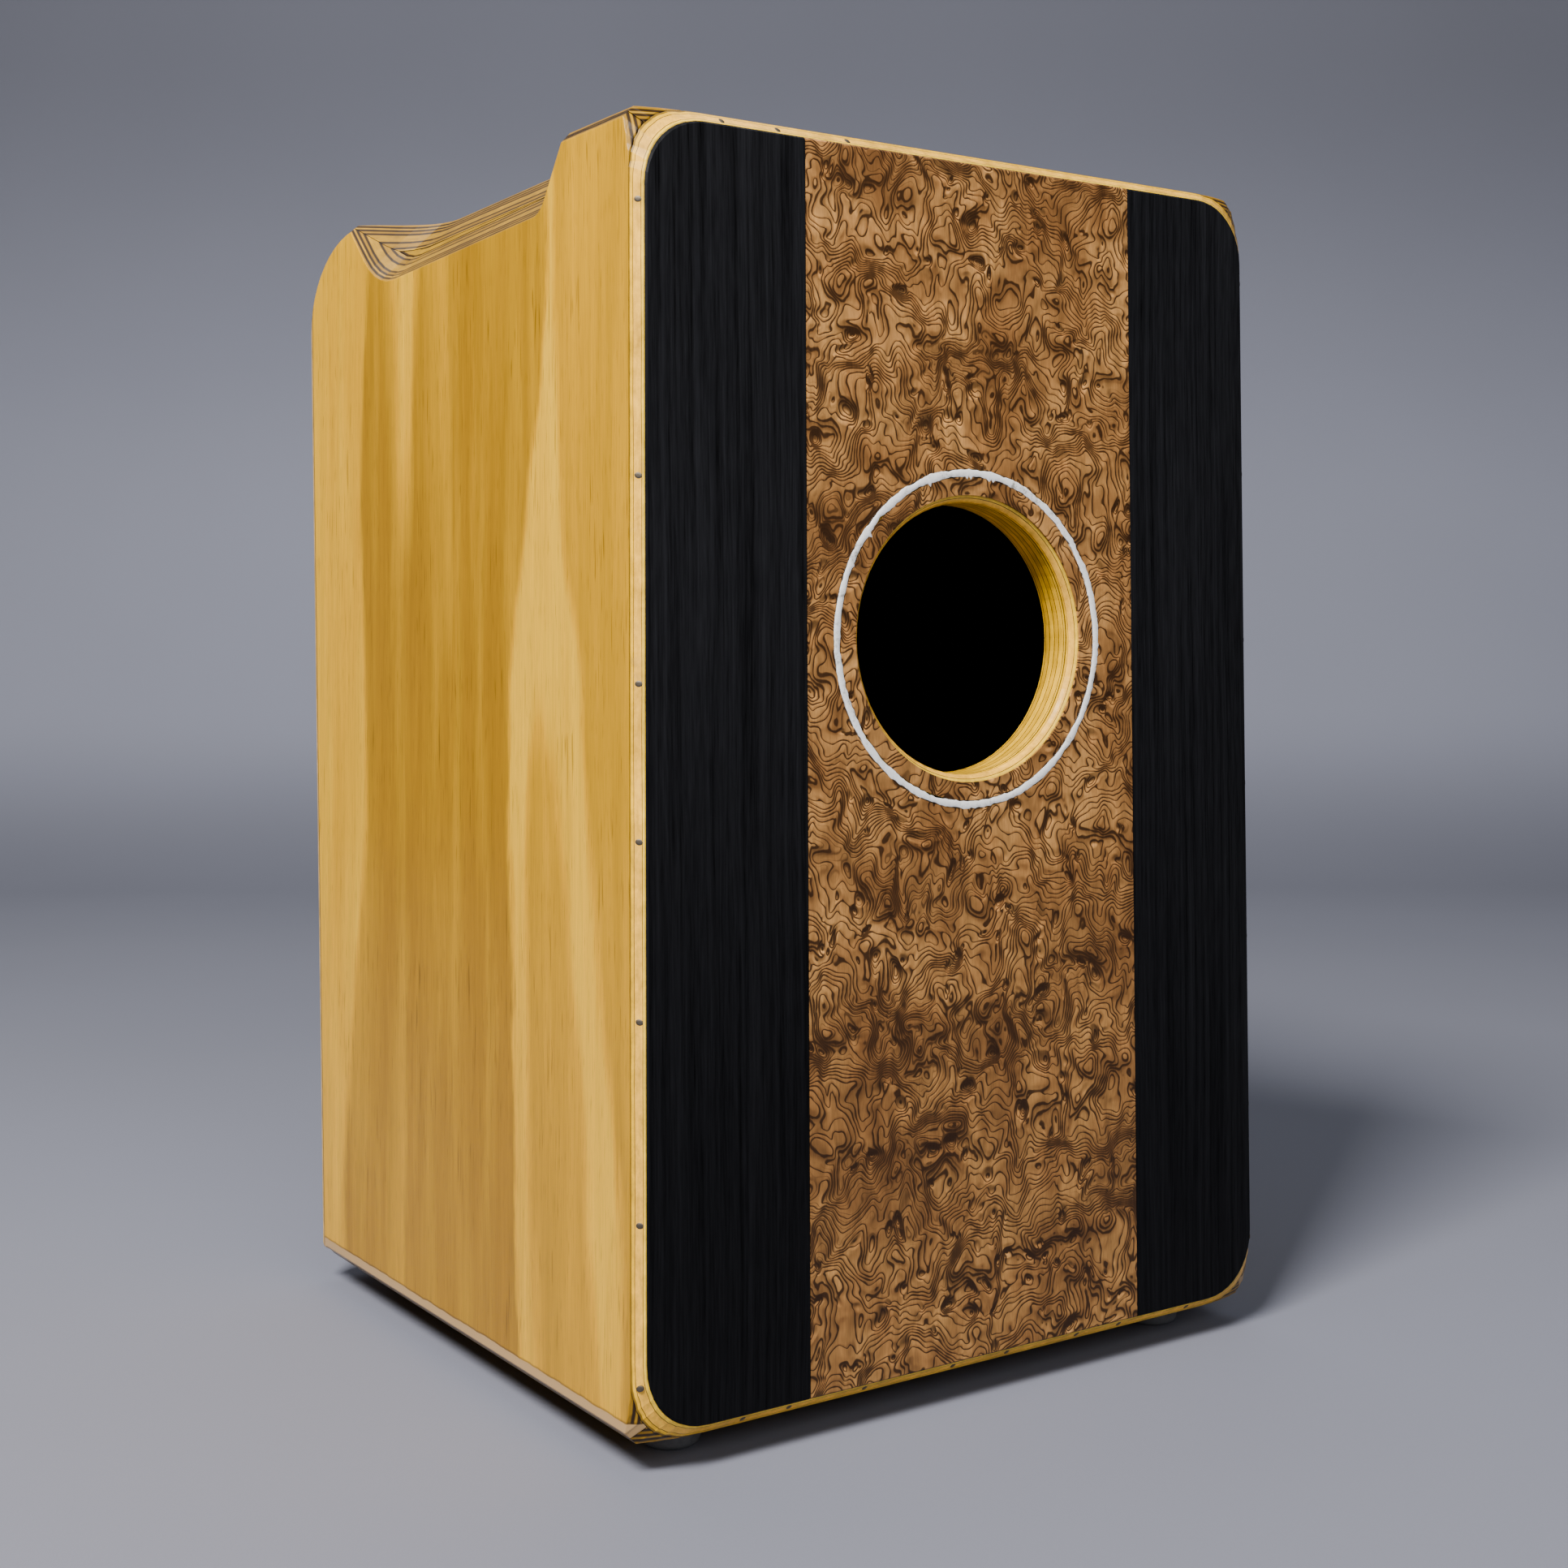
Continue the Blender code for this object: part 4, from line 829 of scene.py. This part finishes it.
def makeRing(material):
    print("scene: ring")
    outer = (ringHigh.x - ringLow.x) / 2
    inner = outer - ringShape["width"]
    count = ringShape["segments"]
    source = random.Random(11)
    spikes = [(source.uniform(0.2, 2.9), source.uniform(0.3, 1.0)) for _ in range(ringShape["spikes"])]

    def edge(radius, angle, seed):
        place = Vector((math.cos(angle), math.sin(angle), seed))
        rough = noise.noise(place * 9) * 0.55 + noise.noise(place * 34) * 0.45
        return radius + rough * ringShape["ragged"]

    def spikeDepth(angle):
        return sum(
            size * ringShape["spikeReach"] * max(0.0, 1 - abs(angle - at) * outer / ringShape["spikeWidth"])
            for at, size in spikes
        )

    bm = bmesh.new()
    rings = []
    top, bottom = rearY - ringShape["proud"], ringHigh.y
    middle = (0.5, top - ringShape["dish"])
    profile = [(0, bottom), (0, rearY), (0.12, top), middle, (0.88, top), (1, rearY), (1, bottom)]
    for share, depth in profile:
        loop = []
        for i in range(count):
            angle = math.tau * i / count
            low = edge(inner, angle, 1.0) - spikeDepth(angle)
            high = edge(outer, angle, 5.0)
            radius = low + (high - low) * share
            loop.append(bm.verts.new((
                holeX + radius * math.cos(angle), depth, holeZ + radius * math.sin(angle))))
        rings.append(loop)
    skin(bm, rings + [rings[0]], capEnds=False)
    addPiece(pieceName("rosette_ring"), bm, material, replaced=["rosette_ring"])


# Screws: a domed head with a cross recess, and a tapering threaded shank
screwShape = {
    "spokes": 40,
    "headRings": 14,
    "pitch": 1.1 * mm,
    "threadDepth": 0.26,
    "turnSteps": 10,
    "edge": 0.965,  # of the head's radius, where its crown begins
    "shoulder": 0.52,  # of the head's rise, where its crown begins
    "crossReach": 0.56,
    "crossWidth": 0.13,
    "crossDepth": 0.62,
}

screwSizes = {
    "tapa_screw": {"head": 3.6 * mm, "rise": 1.5 * mm, "shank": 1.5 * mm, "length": 16.8 * mm},
    "anchor_screw": {"head": 3.6 * mm, "rise": 2.0 * mm, "shank": 1.5 * mm, "length": 23.5 * mm},
    "foot_screw": {"head": 4.0 * mm, "rise": 2.2 * mm, "shank": 1.5 * mm, "length": 16.3 * mm},
}


def crossRecess(x, y, head):
    # How much of its full depth the cross recess has at a point of the head.
    reach, width = head * screwShape["crossReach"], head * screwShape["crossWidth"]
    share = 0.0
    for along, side in ((x, y), (y, x)):
        across = min(1.0, max(0.0, (width - abs(side)) / (0.30 * width)))
        ending = min(1.0, max(0.0, (reach - abs(along)) / (0.40 * reach)))
        share = max(share, across * ending)
    return share


def screwMesh(head, rise, shank, length):
    # A screw along Z, whose head sits on z = 0.
    bm = bmesh.new()
    spokes = screwShape["spokes"]
    rings = []
    steps = int(length / screwShape["pitch"] * screwShape["turnSteps"])
    for i in range(steps + 1):
        z = -length + length * i / steps
        taper = min(1.0, 0.08 + (z + length) / (3.2 * shank))

        def thread(angle, z=z, taper=taper):
            root = 1 - threadCrest(angle, z, screwShape["pitch"]) ** 2
            return shank * taper * (1 - screwShape["threadDepth"] * root)

        rings.append(ringOf(bm, thread, z, spokes))
    edge, shoulder = screwShape["edge"], screwShape["shoulder"]
    for radius, z in ((shank, 0), (head * 0.97, 0), (head, rise * 0.10), (head, rise * 0.36),
                      (head * edge, rise * shoulder)):
        rings.append(ringOf(bm, radius, z, spokes))
    count = screwShape["headRings"]
    for i in range(1, count):
        ring = ringOf(bm, head * edge * (1 - i / count), 0, spokes)
        for vert in ring:
            x, y, _ = vert.co
            bulge = math.sqrt(max(0.0, 1 - (math.hypot(x, y) / head / 1.05) ** 2.6))
            vert.co.z = rise * (shoulder + (1 - shoulder) * bulge)
            vert.co.z -= rise * screwShape["crossDepth"] * crossRecess(x, y, head)
        rings.append(ring)
    skin(bm, rings)
    return bm


def screwPlace(kind, low, high):
    head, rise = screwSizes[kind]["head"], screwSizes[kind]["rise"]
    x = (low.x + high.x) / 2
    if kind != "tapa_screw":
        seat = Vector((x, (low.y + high.y) / 2, low.z + rise))
        return Matrix.Translation(seat) @ Matrix.Rotation(math.pi, 4, "X")
    # The tapa's screws stand square to the leaning front.
    slope = math.atan(frontLean)
    seat = Vector((
        x,
        high.y - rise * math.cos(slope) - head * 0.7 * math.sin(slope),
        high.z - head * math.cos(slope),
    ))
    return Matrix.Translation(seat) @ Matrix.Rotation(-math.pi / 2 - slope, 4, "X")


def makeScrews(material):
    print("scene: screws")
    shared = {kind: screwMesh(**size) for kind, size in screwSizes.items()}
    for name in sorted(nodes):
        kind = next((key for key in screwSizes if name.startswith(key)), None)
        if kind is None:
            continue
        bm = shared[kind].copy()
        turn = Matrix.Rotation(random.Random(name).uniform(0, 1.5), 4, "Z")
        bm.transform(screwPlace(kind, *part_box(name)) @ turn)
        addPiece(pieceName(name), bm, material, replaced=[name], smoothAngle=35)
    for bm in shared.values():
        bm.free()


# Rubber feet with a rounded sole and moulded ribs
footShape = {
    "spokes": 72,
    "radius": 12.0 * mm,
    "ribs": 24,
    "ribDepth": 0.22 * mm,
    "recess": 4.8 * mm,
    "recessTop": 6.8 * mm,
    "hole": 1.9 * mm,
}


def footOutline(top):
    # (radius, height, ribbed) from the hole at the top, down the outside and up the screw's recess
    radius, recess, hole = footShape["radius"], footShape["recess"], footShape["hole"]
    return [
        (hole, top, False),
        (radius - 0.4 * mm, top, False),
        (radius, top - 0.4 * mm, False),
        (radius, top - 1.8 * mm, False),
        (radius - 0.5 * mm, top - 2.4 * mm, True),
        (radius - 0.6 * mm, 4.6 * mm, True),
        (radius - 0.9 * mm, 2.2 * mm, True),
        (radius - 1.6 * mm, 0.8 * mm, False),
        (radius - 2.6 * mm, 0.2 * mm, False),
        (radius - 3.8 * mm, 0.0, False),
        (recess + 1.0 * mm, 0.0, False),
        (recess + 0.3 * mm, 0.2 * mm, False),
        (recess, 1.0 * mm, False),
        (recess, footShape["recessTop"], False),
        (hole, footShape["recessTop"], False),
    ]


def makeFeet(material):
    print("scene: feet")
    for name in ("foot_rear_left", "foot_rear_right", "foot_front_left", "foot_front_right"):
        low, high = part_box(name)
        centre = (low + high) / 2
        bm = bmesh.new()
        rings = []
        for radius, z, ribbed in footOutline(high.z):

            def ribbedRadius(angle, radius=radius):
                return radius - footShape["ribDepth"] * (0.5 + 0.5 * math.cos(angle * footShape["ribs"]))

            rings.append(ringOf(bm, ribbedRadius if ribbed else radius, z, footShape["spokes"], centre))
        skin(bm, rings + [rings[0]], capEnds=False)
        addPiece(pieceName(name), bm, material, replaced=[name])


# Strings: plain wire between two crimped ferrules
stringShape = {
    "wire": 0.45 * mm,
    "ferrule": 1.0 * mm,
    "ferruleLength": 6.0 * mm,
    "grooves": (1.8 * mm, 3.4 * mm),
    "spokes": 12,
    "steps": 60,
}


def stringEnds(name):
    # A string runs from its foot to its head, and leans outwards and forwards on the way up.
    low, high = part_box(name)
    inset = stringShape["ferrule"]
    footX, headX = low.x + inset, high.x - inset
    if name.startswith("string_left"):
        footX, headX = headX, footX
    return Vector((footX, low.y + inset, low.z)), Vector((headX, high.y - inset, high.z))


def stringOutline(length):
    # (distance from the foot, radius), with the head's end as the mirror of the foot's
    wire, ferrule, crimp = stringShape["wire"], stringShape["ferrule"], stringShape["ferruleLength"]
    end = [(0, ferrule * 0.85), (0.2 * mm, ferrule)]
    for groove in stringShape["grooves"]:
        end += [(groove, ferrule), (groove + 0.2 * mm, ferrule * 0.9)]
        end += [(groove + 0.6 * mm, ferrule * 0.9), (groove + 0.8 * mm, ferrule)]
    end += [(crimp - 0.6 * mm, ferrule), (crimp, wire)]
    steps = stringShape["steps"]
    free = [(crimp + (length - 2 * crimp) * i / steps, wire) for i in range(1, steps)]
    return end + free + [(length - along, radius) for along, radius in reversed(end)]


def makeStrings(material):
    print("scene: strings")
    for side in ("left", "right"):
        for number in (1, 2):
            name = f"string_{side}_{number}"
            foot, head = stringEnds(name)
            run = head - foot
            bm = bmesh.new()
            spokes = stringShape["spokes"]
            skin(bm, [ringOf(bm, radius, z, spokes) for z, radius in stringOutline(run.length)])
            bm.transform(Matrix.Translation(foot) @ run.to_track_quat("Z", "X").to_matrix().to_4x4())
            piece = addPiece(pieceName(name), bm, material, body=None, replaced=[name])
            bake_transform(piece)


# Tension bolts: knurled head with a hex socket, plain neck and thread
boltShape = {
    "spokes": 48,
    "headHeight": 5.0 * mm,
    "knurl": 0.12 * mm,
    "knurls": 24,
    "socket": 2.3 * mm,
    "socketDepth": 2.8 * mm,
    "shank": 2.2 * mm,
    "neck": 12.0 * mm,
    "pitch": 0.8 * mm,
    "threadDepth": 0.3 * mm,
    "turnSteps": 8,
}


def makeBolts(material):
    print("scene: bolts")
    spokes, shank, socket = boltShape["spokes"], boltShape["shank"], boltShape["socket"]

    def hexagon(size):
        return lambda a: size * math.cos(math.pi / 6) / math.cos((a % (math.pi / 3)) - math.pi / 6)

    for side in ("left", "right"):
        name = f"tension_bolt_{side}"
        low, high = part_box(name)
        head = (high.x - low.x) / 2
        headTop = low.z + boltShape["headHeight"]
        threadStart = headTop + boltShape["neck"]

        def knurled(angle):
            return head - boltShape["knurl"] * (0.5 + 0.5 * math.cos(angle * boltShape["knurls"]))

        profile = [
            (hexagon(0.6 * mm), low.z + boltShape["socketDepth"]),
            (hexagon(socket), low.z + boltShape["socketDepth"]),
            (hexagon(socket), low.z + 0.2 * mm),
            (hexagon(socket + 0.2 * mm), low.z),
            (head - 0.6 * mm, low.z),
            (head - 0.2 * mm, low.z + 0.2 * mm),
            (knurled, low.z + 0.7 * mm),
            (knurled, headTop - 0.3 * mm),
            (head - 0.2 * mm, headTop),
            (shank, headTop),
        ]
        steps = int((high.z - threadStart) / boltShape["pitch"] * boltShape["turnSteps"])
        for i in range(steps + 1):
            z = threadStart + (high.z - threadStart) * i / steps
            ease = min(1.0, (high.z - z) / mm)

            def thread(angle, z=z, ease=ease):
                root = 1 - threadCrest(angle, z, boltShape["pitch"])
                return shank - boltShape["threadDepth"] * root - 0.8 * mm * (1 - ease)

            profile.append((thread, z))
        bm = bmesh.new()
        skin(bm, [ringOf(bm, radius, z, spokes, (low + high) / 2) for radius, z in profile])
        addPiece(pieceName(name), bm, material, body=name, replaced=[name], smoothAngle=50)


# Brads round the rear panel, driven into its bevel
brads = {
    "left": (0.4455, 0.3484, 0.2757, 0.2208, 0.1586, 0.0888, 0.0332),
    "right": (0.4430, 0.3610, 0.2900, 0.2290, 0.1640, 0.0930, 0.0370),
    "bottom": (-0.1073, -0.0874, -0.0536, -0.0119, 0.0147, 0.0508, 0.0735, 0.1113),
    "top": (-0.1144, -0.0901, -0.0586),
    "bevel": 4.65 * mm,
    "below": 2.4 * mm,
    "sunk": 0.1 * mm,
    "width": 1.1 * mm,
    "length": 1.4 * mm,
    "spokes": 14,
    "tilt": 0.35,
}


def bradPlaces():
    # (middle, way out, way along the edge) of each brad
    slant = math.sqrt(0.5)
    inset = brads["bevel"] - brads["below"]
    y = rearY + brads["below"]
    places = []
    for side, outward in (("left", -1), ("right", 1)):
        out = Vector((outward * slant, -slant, 0))
        x = outward * (halfWidth - inset)
        places += [(Vector((x, y, z)), out, Vector((0, 0, 1))) for z in brads[side]]
    for side, edge, outward in (("bottom", baseZ, -1), ("top", topZ, 1)):
        out = Vector((0, -slant, outward * slant))
        z = edge - outward * inset
        places += [(Vector((x, y, z)), out, Vector((1, 0, 0))) for x in brads[side]]
    return places


def makeBrads(material):
    print("scene: brads")
    bm = bmesh.new()
    source = random.Random(4)
    for at, out, along in bradPlaces():
        turn = source.uniform(-brads["tilt"], brads["tilt"])
        long = along * math.cos(turn) + out.cross(along) * math.sin(turn)
        wide = out.cross(long)
        middle = at - out * brads["sunk"]
        rings = []
        for share, lift in ((1.0, -1.0 * mm), (1.0, 0.12 * mm), (0.82, 0.24 * mm), (0.35, 0.28 * mm)):
            ring = []
            for i in range(brads["spokes"]):
                angle = math.tau * i / brads["spokes"]
                across = long * brads["width"] * math.cos(angle) + wide * brads["length"] * math.sin(angle)
                ring.append(bm.verts.new(middle + out * lift + across * share))
            rings.append(ring)
        skin(bm, rings)
    addPiece("rearBrads", bm, material)


print("scene: camera, floor and lamps")
makeCamera()
makeLamps()
makeFloor().data.materials.append(floorMaterial())
paintNodes()
steel = metalMaterial("zinc screw steel", (0.62, 0.61, 0.58), 0.30)
makeRing(pearlMaterial())
makeScrews(steel)
makeFeet(rubberMaterial())
makeStrings(metalMaterial("string wire", (0.62, 0.56, 0.46), 0.28, (60, 60, 2400)))
makeBolts(metalMaterial("black oxide bolt", (0.16, 0.16, 0.17), 0.36))
brass = metalMaterial("brass carriage", (0.66, 0.46, 0.17), 0.30, (500, 40, 40))
for side in ("left", "right"):
    paint(f"string_carriage_{side}", brass)
makeBrads(metalMaterial("dulled brad", (0.15, 0.125, 0.095), 0.55))

print("scene: done")
